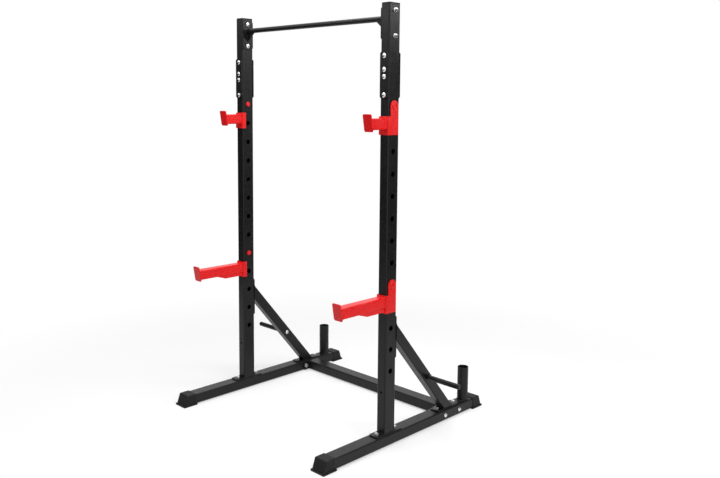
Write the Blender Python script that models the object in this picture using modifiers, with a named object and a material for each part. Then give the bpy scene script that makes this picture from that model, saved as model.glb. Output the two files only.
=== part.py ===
"""Two-post power rack: bolted steel frame with pull-up bar, two J-cups and two spotter arms.

Metres. X runs from one upright to the other, Y from front to back, Z up from the floor.
The origin is on the floor, in the middle of the rack's floor area.
"""

import math

import bmesh
import bpy
from mathutils import Matrix, Vector

# Gaps that keep touching pieces apart
GAP = 0.0003
SLIDE_GAP = 0.0006
BOLT_HOLE_CLEARANCE = 0.001
CUT_OVERRUN = 0.01

# Footprint and heights
BASE_LENGTH = 1.130
UPRIGHT_SPACING = 1.040
UPRIGHT_SETBACK = 0.395
JOINT_HEIGHT = 1.690
UPPER_LENGTH = 0.302

# Tubes
TUBE_WALL = 0.002
TUBE_CORNER = 0.006
UPRIGHT_WIDTH = 0.050
UPRIGHT_DEPTH = 0.070
RAIL_WIDTH = 0.070
RAIL_HEIGHT = 0.050
BRACE_SIZE = 0.050

# Pin holes up the sides of the uprights
PIN_HOLE_DIAMETER = 0.025
PIN_HOLE_PITCH = 0.100
LOWEST_PIN_HOLE = 0.350
PIN_HOLES_END_BELOW_JOINT = 0.120
SPOTTER_HOLE = 4
PILOT_HOLE_DIAMETER = 0.011
PILOT_HOLE_HEIGHT = 0.2515

# Plates and fasteners
PLATE_THICKNESS = 0.005
PLATE_CHAMFER = 0.006
BOLT_DIAMETER = 0.010
DOME_DIAMETER = 0.022
DOME_HEIGHT = 0.0055
DOME_SHOULDER = 0.72
NUT_ACROSS_FLATS = 0.017
NUT_HEIGHT = 0.008
BOLT_HEAD_HEIGHT = 0.0065
WELD_NUT_THREAD_PROUD = 0.001
WASHER_DIAMETER = 0.021
WASHER_THICKNESS = 0.002
THREAD_PROUD = 0.005

# Feet
FOOT_SOLE = 0.004
FOOT_LENGTH = 0.081
FOOT_WIDTH = 0.084
FOOT_FLANGE_HEIGHT = 0.008
FOOT_FLANGE_LEDGE = 0.004
FOOT_NOSE_SLOPE = 0.018
FOOT_ROOF = 0.0035
FOOT_CHEEK = 0.0025
FOOT_TOE_WALL = 0.004
FOOT_FIT = 0.0005
FOOT_ROUNDING = 0.005

# Base plates on the rails
UPRIGHT_PLATE_WIDTH = 0.056
UPRIGHT_PLATE_LENGTH = 0.170
UPRIGHT_BOLT_SPACING = 0.120
BRACE_PLATE_WIDTH = 0.052
BRACE_PLATE_LENGTH = 0.172
BRACE_PLATE_AHEAD = 0.0825
BRACE_BOLT_SPACING = 0.1295
BRACE_BOLT_FRONT_MARGIN = 0.022

# Splice between lower and upper uprights
SPLICE_WIDTH = 0.048
SPLICE_LENGTH = 0.201
SPLICE_ABOVE_JOINT = 0.095
SPLICE_BOLT_OFFSETS = (0.078, 0.018, -0.013, -0.0925)

# Pull-up bar
BAR_DIAMETER = 0.025
BAR_WALL = 0.0025
BAR_BELOW_TOP = 0.061
BAR_FLANGE_HEIGHT = 0.140
BAR_FLANGE_WIDTH = 0.064
BAR_ABOVE_FLANGE_CENTRE = 0.022
BAR_BOLT_SPACING = 0.111
GUSSET_REACH = 0.052
GUSSET_DROP = 0.043
GUSSET_THICKNESS = 0.004

# Braces
BRACE_FLANGE_WIDTH = 0.047
BRACE_FLANGE_LENGTH = 0.198
BRACE_FLANGE_BELOW_BRACE_TOP = 0.0235
BRACE_TOP_HEIGHT = 0.5245
BRACE_FOOT_FROM_REAR = 0.2642
BRACE_FLANGE_BOLT_OFFSETS = (0.079, -0.079)

# Rear crossmember
CROSS_WIDTH = 0.070
CROSS_FROM_REAR = 0.2405
CROSS_FLANGE_LENGTH = 0.150
CROSS_FLANGE_HEIGHT = 0.048
CROSS_BOLT_SPACING = 0.1125

# Plastic caps in the tops of the uprights
CAP_SKIRT_LENGTH = 0.012
CAP_SKIRT_WALL = 0.002
CAP_SKIRT_FIT = 0.0004
TOP_CAP_RIM = 0.005

# Open tubes standing on the rails, and storage pegs on the braces
BAR_HOLDER_DIAMETER = 0.055
BAR_HOLDER_WALL = 0.0015
BAR_HOLDER_HEIGHT = 0.172
BAR_HOLDER_FROM_REAR = 0.1165
PEG_DIAMETER = 0.025
PEG_LENGTH = 0.190
PEG_BEHIND_UPRIGHT = 0.2355
PEG_CHAMFER = 0.002
PEG_THREAD_DEPTH = 0.028

# J-cups and spotter arms
PIN_CLEARANCE = 0.0005
PIN_PROUD = 0.005
PIN_HEAD_PROUD = 0.001
PIN_CHAMFER = 0.0015
EAR_RADIUS = 0.025
BRACKET_TOP_DROP = 0.045
BRACKET_HEIGHT = 0.082
BRACKET_PLATE = 0.005
BRACKET_BEND = 0.006
INNER_CHEEK_SETBACK = 0.017
ARM_WIDTH = 0.049
ARM_HEIGHT = 0.050
ARM_TOP_DROP = 0.0535
ARM_WALL = 0.003
J_CUP_REACH = 0.140
SPOTTER_REACH = 0.316
LIP_WIDTH = 0.051
LIP_LENGTH = 0.078
LIP_TILT = math.radians(9.6)
LIP_CORNER = 0.005
LIP_CENTRE_DROP = 0.074
RIB_WIDTH = 0.045
RIB_DEPTH = 0.0155
RIB_FLAT_LENGTH = 0.115
RIB_TAPER_LENGTH = 0.055

# Resolution of round shapes
HOLE_SIDES = 16
BOLT_SIDES = 12
ROUND_SIDES = 24
CORNER_STEPS = 2
EAR_STEPS = 10
# Round shapes start a few degrees round, so that no edge of theirs runs along a neighbour's
FACET_TURN = math.radians(7)

# Colours of the materials: base colour, roughness, metallic
BLACK_POWDER_COAT = ("black_powder_coat", (0.030, 0.030, 0.032), 0.48, 0.0)
RED_POWDER_COAT = ("red_powder_coat", (0.720, 0.010, 0.016), 0.36, 0.0)
ZINC_PLATE = ("zinc_plate", (0.700, 0.705, 0.720), 0.30, 1.0)
BLACK_PLASTIC = ("black_plastic", (0.018, 0.018, 0.019), 0.55, 0.0)

# Places that several pieces share
FRONT_TIP = -BASE_LENGTH / 2
REAR_TIP = BASE_LENGTH / 2
RAIL_BOTTOM = FOOT_SOLE
RAIL_TOP = RAIL_BOTTOM + RAIL_HEIGHT
UPRIGHT_FRONT = FRONT_TIP + UPRIGHT_SETBACK
UPRIGHT_REAR = UPRIGHT_FRONT + UPRIGHT_DEPTH
UPRIGHT_Y = UPRIGHT_FRONT + UPRIGHT_DEPTH / 2
PLATE_BOTTOM = RAIL_TOP + GAP
PLATE_TOP = PLATE_BOTTOM + PLATE_THICKNESS
TUBE_TOP = JOINT_HEIGHT + UPPER_LENGTH
PIN_DIAMETER = PIN_HOLE_DIAMETER - 2 * PIN_CLEARANCE
BOLT_HOLE = BOLT_DIAMETER + BOLT_HOLE_CLEARANCE
CROSS_Y = REAR_TIP - CROSS_FROM_REAR
BAR_HOLDER_Y = REAR_TIP - BAR_HOLDER_FROM_REAR
BAR_Z = TUBE_TOP - BAR_BELOW_TOP
BAR_FLANGE_Z = BAR_Z - BAR_ABOVE_FLANGE_CENTRE
BRACE_FLANGE_Z = BRACE_TOP_HEIGHT - BRACE_FLANGE_BELOW_BRACE_TOP
BRACE_START = Vector((0, UPRIGHT_REAR + GAP + PLATE_THICKNESS, BRACE_TOP_HEIGHT))
BRACE_END = Vector((0, REAR_TIP - BRACE_FOOT_FROM_REAR, PLATE_TOP))
BRACE_SLOPE = (BRACE_END - BRACE_START).normalized()
BRACE_PLATE_FRONT = BRACE_END.y - BRACE_PLATE_AHEAD
PEG_Y = UPRIGHT_REAR + PEG_BEHIND_UPRIGHT
PEG_Z = BRACE_START.z + BRACE_SLOPE.z / BRACE_SLOPE.y * (PEG_Y - BRACE_START.y)
SIDES = (("left", -1), ("right", 1))

parts = None
cutters = None
materials = {}


def clear_scene():
    for obj in list(bpy.data.objects):
        bpy.data.objects.remove(obj, do_unlink=True)


def new_collection(name, hidden=False):
    collection = bpy.data.collections.new(name)
    collection.hide_render = hidden
    bpy.context.scene.collection.children.link(collection)
    return collection


def material(spec):
    name, colour, roughness, metallic = spec
    if name not in materials:
        made = bpy.data.materials.new(name)
        made.use_nodes = True
        shader = made.node_tree.nodes["Principled BSDF"]
        shader.inputs["Base Color"].default_value = (*colour, 1.0)
        shader.inputs["Roughness"].default_value = roughness
        shader.inputs["Metallic"].default_value = metallic
        made.diffuse_color = (*colour, 1.0)
        materials[name] = made
    return materials[name]


def mesh_from(name, bm):
    bmesh.ops.recalc_face_normals(bm, faces=bm.faces)
    mesh = bpy.data.meshes.new(name)
    bm.to_mesh(mesh)
    bm.free()
    return mesh


def box_mesh(name, low, high):
    bm = bmesh.new()
    bmesh.ops.create_cube(bm, size=1.0)
    low, high = Vector(low), Vector(high)
    size = high - low
    bmesh.ops.scale(bm, vec=size, verts=bm.verts)
    bmesh.ops.translate(bm, vec=(low + high) / 2, verts=bm.verts)
    return mesh_from(name, bm)


def rod_mesh(name, start, end, diameter, sides, chamfer=0.0):
    """A closed cylinder between two points, with its far end chamfered if asked."""
    start, end = Vector(start), Vector(end)
    span = end - start
    bm = bmesh.new()
    bmesh.ops.create_cone(
        bm, cap_ends=True, segments=sides, radius1=diameter / 2, radius2=diameter / 2, depth=span.length
    )
    if chamfer:
        far = [e for e in bm.edges if all(v.co.z > 0 for v in e.verts)]
        bmesh.ops.bevel(bm, geom=far, offset=chamfer, segments=1, affect="EDGES")
    turn = Vector((0, 0, 1)).rotation_difference(span).to_matrix().to_4x4()
    frame = Matrix.Translation((start + end) / 2) @ turn @ Matrix.Rotation(FACET_TURN, 4, "Z")
    bmesh.ops.transform(bm, matrix=frame, verts=bm.verts)
    return mesh_from(name, bm)


def rounded_rectangle(width, height, radius, steps=CORNER_STEPS, centre=(0.0, 0.0)):
    """Corner arcs of a rectangle, anticlockwise."""
    points = []
    for i, (sx, sy) in enumerate(((1, 1), (-1, 1), (-1, -1), (1, -1))):
        cx = centre[0] + sx * (width / 2 - radius)
        cy = centre[1] + sy * (height / 2 - radius)
        for step in range(steps + 1):
            angle = math.pi / 2 * (i + step / steps)
            points.append((cx + radius * math.cos(angle), cy + radius * math.sin(angle)))
    return points


def chamfered_rectangle(width, height, chamfer):
    w, h = width / 2, height / 2
    c = chamfer
    return [
        (w, c - h), (w, h - c), (w - c, h), (c - w, h),
        (-w, h - c), (-w, c - h), (c - w, -h), (w - c, -h),
    ]


def circle(diameter, sides, centre=(0.0, 0.0)):
    turns = [FACET_TURN + 2 * math.pi * i / sides for i in range(sides)]
    return [(centre[0] + diameter / 2 * math.cos(a), centre[1] + diameter / 2 * math.sin(a)) for a in turns]


def extruded(name, loops, depth, frame):
    """A flat outline with any holes, extruded from 0 to depth along frame's third axis."""
    curve = bpy.data.curves.new(name, "CURVE")
    curve.dimensions = "2D"
    curve.fill_mode = "BOTH"
    curve.extrude = depth / 2
    for loop in loops:
        spline = curve.splines.new("POLY")
        spline.points.add(len(loop) - 1)
        for point, (u, v) in zip(spline.points, loop):
            point.co = (u, v, 0, 1)
        spline.use_cyclic_u = True
    guide = bpy.data.objects.new(name, curve)
    cutters.objects.link(guide)
    bpy.context.view_layer.update()
    mesh = bpy.data.meshes.new_from_object(guide.evaluated_get(bpy.context.evaluated_depsgraph_get()))
    bpy.data.objects.remove(guide)
    bpy.data.curves.remove(curve)
    bm = bmesh.new()
    bm.from_mesh(mesh)
    bpy.data.meshes.remove(mesh)
    bmesh.ops.remove_doubles(bm, verts=bm.verts, dist=1e-6)
    bmesh.ops.translate(bm, vec=(0, 0, depth / 2), verts=bm.verts)
    bmesh.ops.transform(bm, matrix=frame, verts=bm.verts)
    return mesh_from(name, bm)


def frame_along(axis, origin):
    """Axes for an outline: along X it is drawn in (Y, Z), along Y in (Z, X), along Z in (X, Y)."""
    columns = {
        "X": ((0, 1, 0), (0, 0, 1), (1, 0, 0)),
        "Y": ((0, 0, 1), (1, 0, 0), (0, 1, 0)),
        "Z": ((1, 0, 0), (0, 1, 0), (0, 0, 1)),
    }[axis]
    turn = Matrix([list(c) for c in columns]).transposed().to_4x4()
    return Matrix.Translation(Vector(origin)) @ turn


def helper(name, mesh):
    obj = bpy.data.objects.new(name, mesh)
    obj.hide_render = True
    obj.display_type = "WIRE"
    cutters.objects.link(obj)
    return obj


def combined(name, mesh, unions=(), cuts=()):
    """The first mesh joined with the unions, then cut by the cuts."""
    body = helper(name + "_body", mesh)
    tools = []
    for operation, group in (("UNION", unions), ("DIFFERENCE", cuts)):
        for i, tool_mesh in enumerate(group):
            tool = helper(f"{name}_{operation.lower()}_{i}", tool_mesh)
            modifier = body.modifiers.new(tool.name, "BOOLEAN")
            modifier.object = tool
            modifier.operation = operation
            modifier.solver = "EXACT"
            tools.append(tool)
    bpy.context.view_layer.update()
    made = bpy.data.meshes.new_from_object(body.evaluated_get(bpy.context.evaluated_depsgraph_get()))
    made.name = name
    for obj in [body, *tools]:
        bpy.data.objects.remove(obj)
    return made


def place(name, mesh, spec, location=(0, 0, 0), rotation=(0, 0, 0), parent=None):
    """A named piece of the rack, at a place in its parent's frame."""
    if not mesh.materials:
        mesh.materials.append(material(spec))
    mesh.shade_smooth()
    mesh.set_sharp_from_angle(angle=math.radians(35))
    obj = bpy.data.objects.new(name, mesh)
    obj.location = location
    obj.rotation_euler = rotation
    parts.objects.link(obj)
    if parent:
        obj.parent = parent
    return obj


def tube_mesh(name, width, height, length, axis, origin, wall=TUBE_WALL, corner=TUBE_CORNER):
    """An open rectangular tube along an axis; width and height follow that axis's outline."""
    outer = rounded_rectangle(width, height, corner)
    inner = rounded_rectangle(width - 2 * wall, height - 2 * wall, corner - wall / 2)
    return extruded(name, [outer, inner], length, frame_along(axis, origin))


def hole_cut(axis, centre, reach, diameter=BOLT_HOLE, sides=BOLT_SIDES):
    """A round cutter through centre, reaching the same way on both sides along an axis."""
    step = {"X": Vector((1, 0, 0)), "Y": Vector((0, 1, 0)), "Z": Vector((0, 0, 1))}[axis] * reach
    return rod_mesh("hole", Vector(centre) - step, Vector(centre) + step, diameter, sides)


def joined(meshes):
    """Separate meshes gathered into one, to cut with all of them at once."""
    bm = bmesh.new()
    for mesh in meshes:
        bm.from_mesh(mesh)
        bpy.data.meshes.remove(mesh)
    return mesh_from("joined", bm)


def pin_hole_heights():
    """Every pitch from the lowest hole up to where the splice plates begin."""
    room = JOINT_HEIGHT - PIN_HOLES_END_BELOW_JOINT - LOWEST_PIN_HOLE
    return [LOWEST_PIN_HOLE + PIN_HOLE_PITCH * i for i in range(int(room / PIN_HOLE_PITCH) + 1)]


def upright_bolt_ys():
    return [UPRIGHT_Y - UPRIGHT_BOLT_SPACING / 2, UPRIGHT_Y + UPRIGHT_BOLT_SPACING / 2]


def brace_bolt_ys():
    front = BRACE_PLATE_FRONT + BRACE_BOLT_FRONT_MARGIN
    return [front, front + BRACE_BOLT_SPACING]


def cross_bolt_ys():
    return [CROSS_Y - CROSS_BOLT_SPACING / 2, CROSS_Y + CROSS_BOLT_SPACING / 2]


def splice_bolt_heights():
    return [JOINT_HEIGHT + offset for offset in SPLICE_BOLT_OFFSETS]


def bar_bolt_heights():
    return [BAR_FLANGE_Z + BAR_BOLT_SPACING / 2, BAR_FLANGE_Z - BAR_BOLT_SPACING / 2]


def brace_flange_bolt_heights():
    return [BRACE_FLANGE_Z + offset for offset in BRACE_FLANGE_BOLT_OFFSETS]


def rail_end_inset():
    """How far the rail stops short of the foot's toe, behind the sloping nose and its wall."""
    return FOOT_FLANGE_LEDGE + FOOT_NOSE_SLOPE + FOOT_TOE_WALL + FOOT_FIT


def base_rails():
    inset = rail_end_inset()
    length = BASE_LENGTH - 2 * inset
    middle = (RAIL_BOTTOM + RAIL_TOP) / 2
    mesh = tube_mesh("base_rail", RAIL_HEIGHT, RAIL_WIDTH, length, "Y", (0, FRONT_TIP + inset, middle))
    wall_reach = TUBE_WALL * 2
    cuts = [hole_cut("Z", (0, y, RAIL_TOP), wall_reach) for y in upright_bolt_ys() + brace_bolt_ys()]
    cuts += [hole_cut("X", (0, y, middle), RAIL_WIDTH) for y in cross_bolt_ys()]
    mesh = combined("base_rail", mesh, cuts=[joined(cuts)])
    for side, sign in SIDES:
        place(f"base_rail_{side}", mesh, BLACK_POWDER_COAT, (sign * UPRIGHT_SPACING / 2, 0, 0))


def foot_mesh():
    """A moulded boot with its toe at Y = 0, which the rail end slides into from +Y."""
    roof = RAIL_TOP + FOOT_ROOF
    top_width = RAIL_WIDTH + 2 * FOOT_CHEEK
    ledge = FOOT_FLANGE_LEDGE
    bm = bmesh.new()
    bmesh.ops.create_cube(bm, size=1.0)
    for vert in bm.verts:
        sx, sy, sz = (1 if c > 0 else -1 for c in vert.co)
        width = top_width if sz > 0 else FOOT_WIDTH - 2 * ledge
        front = ledge + (FOOT_NOSE_SLOPE if sz > 0 else 0.0)
        rear = FOOT_LENGTH - ledge
        vert.co = (sx * width / 2, rear if sy > 0 else front, roof if sz > 0 else FOOT_FLANGE_HEIGHT / 2)
    edges = [e for e in bm.edges if not all(v.co.z < FOOT_FLANGE_HEIGHT for v in e.verts)]
    bmesh.ops.bevel(bm, geom=edges, offset=FOOT_ROUNDING, segments=2, affect="EDGES", profile=0.5)
    body = mesh_from("foot", bm)
    outline = rounded_rectangle(FOOT_WIDTH, FOOT_LENGTH, ledge, centre=(0, FOOT_LENGTH / 2))
    flange = extruded("foot_flange", [outline], FOOT_FLANGE_HEIGHT, frame_along("Z", (0, 0, 0)))
    inset = rail_end_inset() - FOOT_FIT
    middle = (RAIL_BOTTOM + RAIL_TOP) / 2
    pocket = rounded_rectangle(RAIL_HEIGHT + 2 * GAP, RAIL_WIDTH + 2 * FOOT_FIT, TUBE_CORNER)
    cavity = extruded("foot_pocket", [pocket], FOOT_LENGTH, frame_along("Y", (0, inset, middle)))
    return combined("foot", body, [flange], [cavity])


def feet():
    mesh = foot_mesh()
    for side, sign in SIDES:
        x = sign * UPRIGHT_SPACING / 2
        place(f"foot_front_{side}", mesh, BLACK_PLASTIC, (x, FRONT_TIP, 0))
        place(f"foot_rear_{side}", mesh, BLACK_PLASTIC, (x, REAR_TIP, 0), (0, 0, math.pi))


def lower_uprights():
    tube = tube_mesh(
        "lower_upright", UPRIGHT_WIDTH, UPRIGHT_DEPTH, JOINT_HEIGHT - GAP - PLATE_TOP + PLATE_THICKNESS / 2,
        "Z", (0, UPRIGHT_Y, PLATE_TOP - PLATE_THICKNESS / 2),
    )
    outline = chamfered_rectangle(UPRIGHT_PLATE_WIDTH, UPRIGHT_PLATE_LENGTH, PLATE_CHAMFER)
    holes = [circle(BOLT_HOLE, BOLT_SIDES, (0, y - UPRIGHT_Y)) for y in upright_bolt_ys()]
    frame = frame_along("Z", (0, UPRIGHT_Y, PLATE_BOTTOM))
    plate = extruded("base_plate", [outline, *holes], PLATE_THICKNESS, frame)
    cuts = [
        hole_cut("X", (0, UPRIGHT_Y, z), UPRIGHT_WIDTH, PIN_HOLE_DIAMETER, HOLE_SIDES)
        for z in pin_hole_heights()
    ]
    splice_heights = [z for z in splice_bolt_heights() if z < JOINT_HEIGHT]
    cuts += [hole_cut("Y", (0, UPRIGHT_Y, z), UPRIGHT_DEPTH) for z in splice_heights]
    cuts += [hole_cut("Y", (0, UPRIGHT_REAR, z), UPRIGHT_DEPTH / 4) for z in brace_flange_bolt_heights()]
    cuts.append(hole_cut("Y", (0, UPRIGHT_FRONT, PILOT_HOLE_HEIGHT), UPRIGHT_DEPTH / 4, PILOT_HOLE_DIAMETER))
    mesh = combined("lower_upright", tube, [plate], [joined(cuts)])
    for side, sign in SIDES:
        place(f"lower_upright_{side}", mesh, BLACK_POWDER_COAT, (sign * UPRIGHT_SPACING / 2, 0, 0))


def upper_uprights():
    tube = tube_mesh(
        "upper_upright", UPRIGHT_WIDTH, UPRIGHT_DEPTH, UPPER_LENGTH, "Z", (0, UPRIGHT_Y, JOINT_HEIGHT)
    )
    splice_heights = [z for z in splice_bolt_heights() if z > JOINT_HEIGHT]
    cuts = [hole_cut("Y", (0, UPRIGHT_Y, z), UPRIGHT_DEPTH) for z in splice_heights]
    cuts += [hole_cut("X", (0, UPRIGHT_Y, z), UPRIGHT_WIDTH) for z in bar_bolt_heights()]
    mesh = combined("upper_upright", tube, cuts=[joined(cuts)])
    for side, sign in SIDES:
        place(f"upper_upright_{side}", mesh, BLACK_POWDER_COAT, (sign * UPRIGHT_SPACING / 2, 0, 0))


def top_caps():
    """Plastic plugs: a rim on the tube's end and a hollow skirt inside it."""
    rim_bottom = TUBE_TOP + GAP
    outline = rounded_rectangle(UPRIGHT_WIDTH, UPRIGHT_DEPTH, TUBE_CORNER)
    rim = extruded("top_cap", [outline], TOP_CAP_RIM, frame_along("Z", (0, UPRIGHT_Y, rim_bottom)))
    inner = 2 * (TUBE_WALL + CAP_SKIRT_FIT)
    skirt = tube_mesh(
        "top_cap_skirt", UPRIGHT_WIDTH - inner, UPRIGHT_DEPTH - inner, CAP_SKIRT_LENGTH + TOP_CAP_RIM / 2,
        "Z", (0, UPRIGHT_Y, rim_bottom - CAP_SKIRT_LENGTH), CAP_SKIRT_WALL, TUBE_CORNER - TUBE_WALL / 2,
    )
    mesh = combined("top_cap", rim, [skirt])
    for side, sign in SIDES:
        place(f"top_cap_{side}", mesh, BLACK_PLASTIC, (sign * UPRIGHT_SPACING / 2, 0, 0))


def splice_plates():
    centre = JOINT_HEIGHT + SPLICE_ABOVE_JOINT - SPLICE_LENGTH / 2
    outline = [(v, u) for u, v in chamfered_rectangle(SPLICE_WIDTH, SPLICE_LENGTH, PLATE_CHAMFER)]
    holes = [circle(BOLT_HOLE, BOLT_SIDES, (z - centre, 0)) for z in splice_bolt_heights()]
    mesh = extruded("splice_plate", [outline, *holes], PLATE_THICKNESS, frame_along("Y", (0, 0, centre)))
    for side, sign in SIDES:
        x = sign * UPRIGHT_SPACING / 2
        front = UPRIGHT_FRONT - GAP - PLATE_THICKNESS
        place(f"splice_plate_front_{side}", mesh, BLACK_POWDER_COAT, (x, front, 0))
        place(f"splice_plate_rear_{side}", mesh, BLACK_POWDER_COAT, (x, UPRIGHT_REAR + GAP, 0))


def pull_up_bar():
    """The bar, a flange at each end and a gusset under each end, welded into one piece."""
    end = UPRIGHT_SPACING / 2 - UPRIGHT_WIDTH / 2 - GAP
    half_flange = end - PLATE_THICKNESS
    centre = Vector((0, UPRIGHT_Y, BAR_Z))
    reach = Vector((end - GAP, 0, 0))
    bar = rod_mesh("pull_up_bar", centre - reach, centre + reach, BAR_DIAMETER, ROUND_SIDES)
    reach = Vector((end + CUT_OVERRUN, 0, 0))
    bore = rod_mesh("bore", centre - reach, centre + reach, BAR_DIAMETER - 2 * BAR_WALL, ROUND_SIDES)
    outline = chamfered_rectangle(BAR_FLANGE_WIDTH, BAR_FLANGE_HEIGHT, PLATE_CHAMFER)
    holes = [circle(BOLT_HOLE, BOLT_SIDES, (0, z - BAR_FLANGE_Z)) for z in bar_bolt_heights()]
    unions = []
    for sign in (-1, 1):
        inner_x = half_flange if sign > 0 else -end
        frame = frame_along("X", (inner_x, UPRIGHT_Y, BAR_FLANGE_Z))
        unions.append(extruded("bar_flange", [outline, *holes], PLATE_THICKNESS, frame))
        mid_wall = BAR_Z - (BAR_DIAMETER - BAR_WALL) / 2
        root_x = sign * (half_flange + PLATE_THICKNESS / 2)
        tip_x = sign * (half_flange - GUSSET_REACH)
        drop = GUSSET_DROP * (1 + PLATE_THICKNESS / 2 / GUSSET_REACH)
        triangle = [(mid_wall, root_x), (mid_wall, tip_x), (mid_wall - drop, root_x)]
        frame = frame_along("Y", (0, UPRIGHT_Y - GUSSET_THICKNESS / 2, 0))
        unions.append(extruded("gusset", [triangle], GUSSET_THICKNESS, frame))
    mesh = combined("pull_up_bar", bar, unions, [bore])
    place("pull_up_bar", mesh, BLACK_POWDER_COAT)


def braces():
    """Flange, sloping tube and base plate, welded into one piece."""
    flange_y = UPRIGHT_REAR + GAP
    outline = [(v, u) for u, v in chamfered_rectangle(BRACE_FLANGE_WIDTH, BRACE_FLANGE_LENGTH, PLATE_CHAMFER)]
    holes = [circle(BOLT_HOLE, BOLT_SIDES, (z - BRACE_FLANGE_Z, 0)) for z in brace_flange_bolt_heights()]
    frame = frame_along("Y", (0, flange_y, BRACE_FLANGE_Z))
    flange = extruded("brace_flange", [outline, *holes], PLATE_THICKNESS, frame)
    plate_centre = BRACE_PLATE_FRONT + BRACE_PLATE_LENGTH / 2
    outline = chamfered_rectangle(BRACE_PLATE_WIDTH, BRACE_PLATE_LENGTH, PLATE_CHAMFER)
    holes = [circle(BOLT_HOLE, BOLT_SIDES, (0, y - plate_centre)) for y in brace_bolt_ys()]
    frame = frame_along("Z", (0, plate_centre, PLATE_BOTTOM))
    plate = extruded("brace_plate", [outline, *holes], PLATE_THICKNESS, frame)
    overlap = BRACE_SIZE
    across = BRACE_SLOPE.cross(Vector((1, 0, 0)))
    turn = Matrix((Vector((1, 0, 0)), across, -BRACE_SLOPE)).transposed().to_4x4()
    length = (BRACE_END - BRACE_START).length + 2 * overlap
    frame = Matrix.Translation(BRACE_END + BRACE_SLOPE * overlap) @ turn
    outer = rounded_rectangle(BRACE_SIZE, BRACE_SIZE, TUBE_CORNER)
    hollow = BRACE_SIZE - 2 * TUBE_WALL
    inner = rounded_rectangle(hollow, hollow, TUBE_CORNER - TUBE_WALL / 2)
    tube = extruded("brace_tube", [outer, inner], length, frame)
    far = BASE_LENGTH
    half = PLATE_THICKNESS / 2
    trims = [
        box_mesh("trim_front", (-far, flange_y - far, -far), (far, flange_y + half, BRACE_START.z + far)),
        box_mesh("trim_below", (-far, -far, -far), (far, BRACE_END.y + far, PLATE_TOP - half)),
    ]
    tube = combined("brace_tube", tube, cuts=trims)
    peg_hole = hole_cut("X", (0, PEG_Y, PEG_Z), BRACE_SIZE)
    mesh = combined("brace", tube, [flange, plate], [peg_hole])
    for side, sign in SIDES:
        place(f"brace_{side}", mesh, BLACK_POWDER_COAT, (sign * UPRIGHT_SPACING / 2, 0, 0))


def crossmember():
    """The rear tube with a bolting flange at each end, welded into one piece."""
    end = UPRIGHT_SPACING / 2 - RAIL_WIDTH / 2 - GAP
    middle = (RAIL_BOTTOM + RAIL_TOP) / 2
    outer = rounded_rectangle(CROSS_WIDTH, RAIL_HEIGHT, TUBE_CORNER)
    both_walls = 2 * TUBE_WALL
    inner_corner = TUBE_CORNER - TUBE_WALL / 2
    inner = rounded_rectangle(CROSS_WIDTH - both_walls, RAIL_HEIGHT - both_walls, inner_corner)
    tube = extruded("crossmember", [outer], 2 * (end - GAP), frame_along("X", (GAP - end, CROSS_Y, middle)))
    bore_end = end + CUT_OVERRUN
    bore = extruded("cross_bore", [inner], 2 * bore_end, frame_along("X", (-bore_end, CROSS_Y, middle)))
    outline = chamfered_rectangle(CROSS_FLANGE_LENGTH, CROSS_FLANGE_HEIGHT, PLATE_CHAMFER)
    holes = [circle(BOLT_HOLE, BOLT_SIDES, (y - CROSS_Y, 0)) for y in cross_bolt_ys()]
    unions = []
    for x in (-end, end - PLATE_THICKNESS):
        frame = frame_along("X", (x, CROSS_Y, middle))
        unions.append(extruded("cross_flange", [outline, *holes], PLATE_THICKNESS, frame))
    mesh = combined("crossmember", tube, unions, [bore])
    place("crossmember", mesh, BLACK_POWDER_COAT)


def turned(name, profile, sides):
    """A closed turned shape: the profile, from the axis out and back, spun about Z."""
    bm = bmesh.new()
    verts = [bm.verts.new((r, 0, z)) for r, z in profile]
    for a, b in zip(verts, verts[1:]):
        bm.edges.new((a, b))
    mesh = bpy.data.meshes.new(name)
    bm.to_mesh(mesh)
    bm.free()
    obj = helper(name, mesh)
    screw = obj.modifiers.new("turn", "SCREW")
    screw.steps = sides
    screw.render_steps = sides
    screw.use_merge_vertices = True
    screw.merge_threshold = 1e-5
    bpy.context.view_layer.update()
    made = bpy.data.meshes.new_from_object(obj.evaluated_get(bpy.context.evaluated_depsgraph_get()))
    bpy.data.objects.remove(obj)
    bm = bmesh.new()
    bm.from_mesh(made)
    bpy.data.meshes.remove(made)
    bmesh.ops.remove_doubles(bm, verts=bm.verts, dist=1e-6)
    return mesh_from(name, bm)


def bar_holders():
    """Round tubes standing near the rear ends of the rails, open at the top."""
    bore = BAR_HOLDER_DIAMETER - 2 * BAR_HOLDER_WALL
    loops = [circle(BAR_HOLDER_DIAMETER, ROUND_SIDES), circle(bore, ROUND_SIDES)]
    tube = extruded("bar_holder", loops, BAR_HOLDER_HEIGHT, frame_along("Z", (0, 0, RAIL_TOP + GAP)))
    for side, sign in SIDES:
        x = sign * UPRIGHT_SPACING / 2
        place(f"bar_holder_{side}", tube, BLACK_POWDER_COAT, (x, BAR_HOLDER_Y, 0))


def storage_pegs():
    start = BRACE_SIZE / 2 + GAP
    end = start + PEG_LENGTH
    peg = rod_mesh("storage_peg", (start, 0, 0), (end, 0, 0), PEG_DIAMETER, ROUND_SIDES, PEG_CHAMFER)
    depth = PEG_THREAD_DEPTH + PEG_CHAMFER
    thread = rod_mesh("peg_thread", (0, 0, 0), (start + depth, 0, 0), BOLT_HOLE, BOLT_SIDES)
    mesh = combined("storage_peg", peg, cuts=[thread])
    for side, sign in SIDES:
        turn = 0 if sign > 0 else math.pi
        x = sign * UPRIGHT_SPACING / 2
        place(f"storage_peg_{side}", mesh, BLACK_POWDER_COAT, (x, PEG_Y, PEG_Z), (0, 0, turn))


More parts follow.
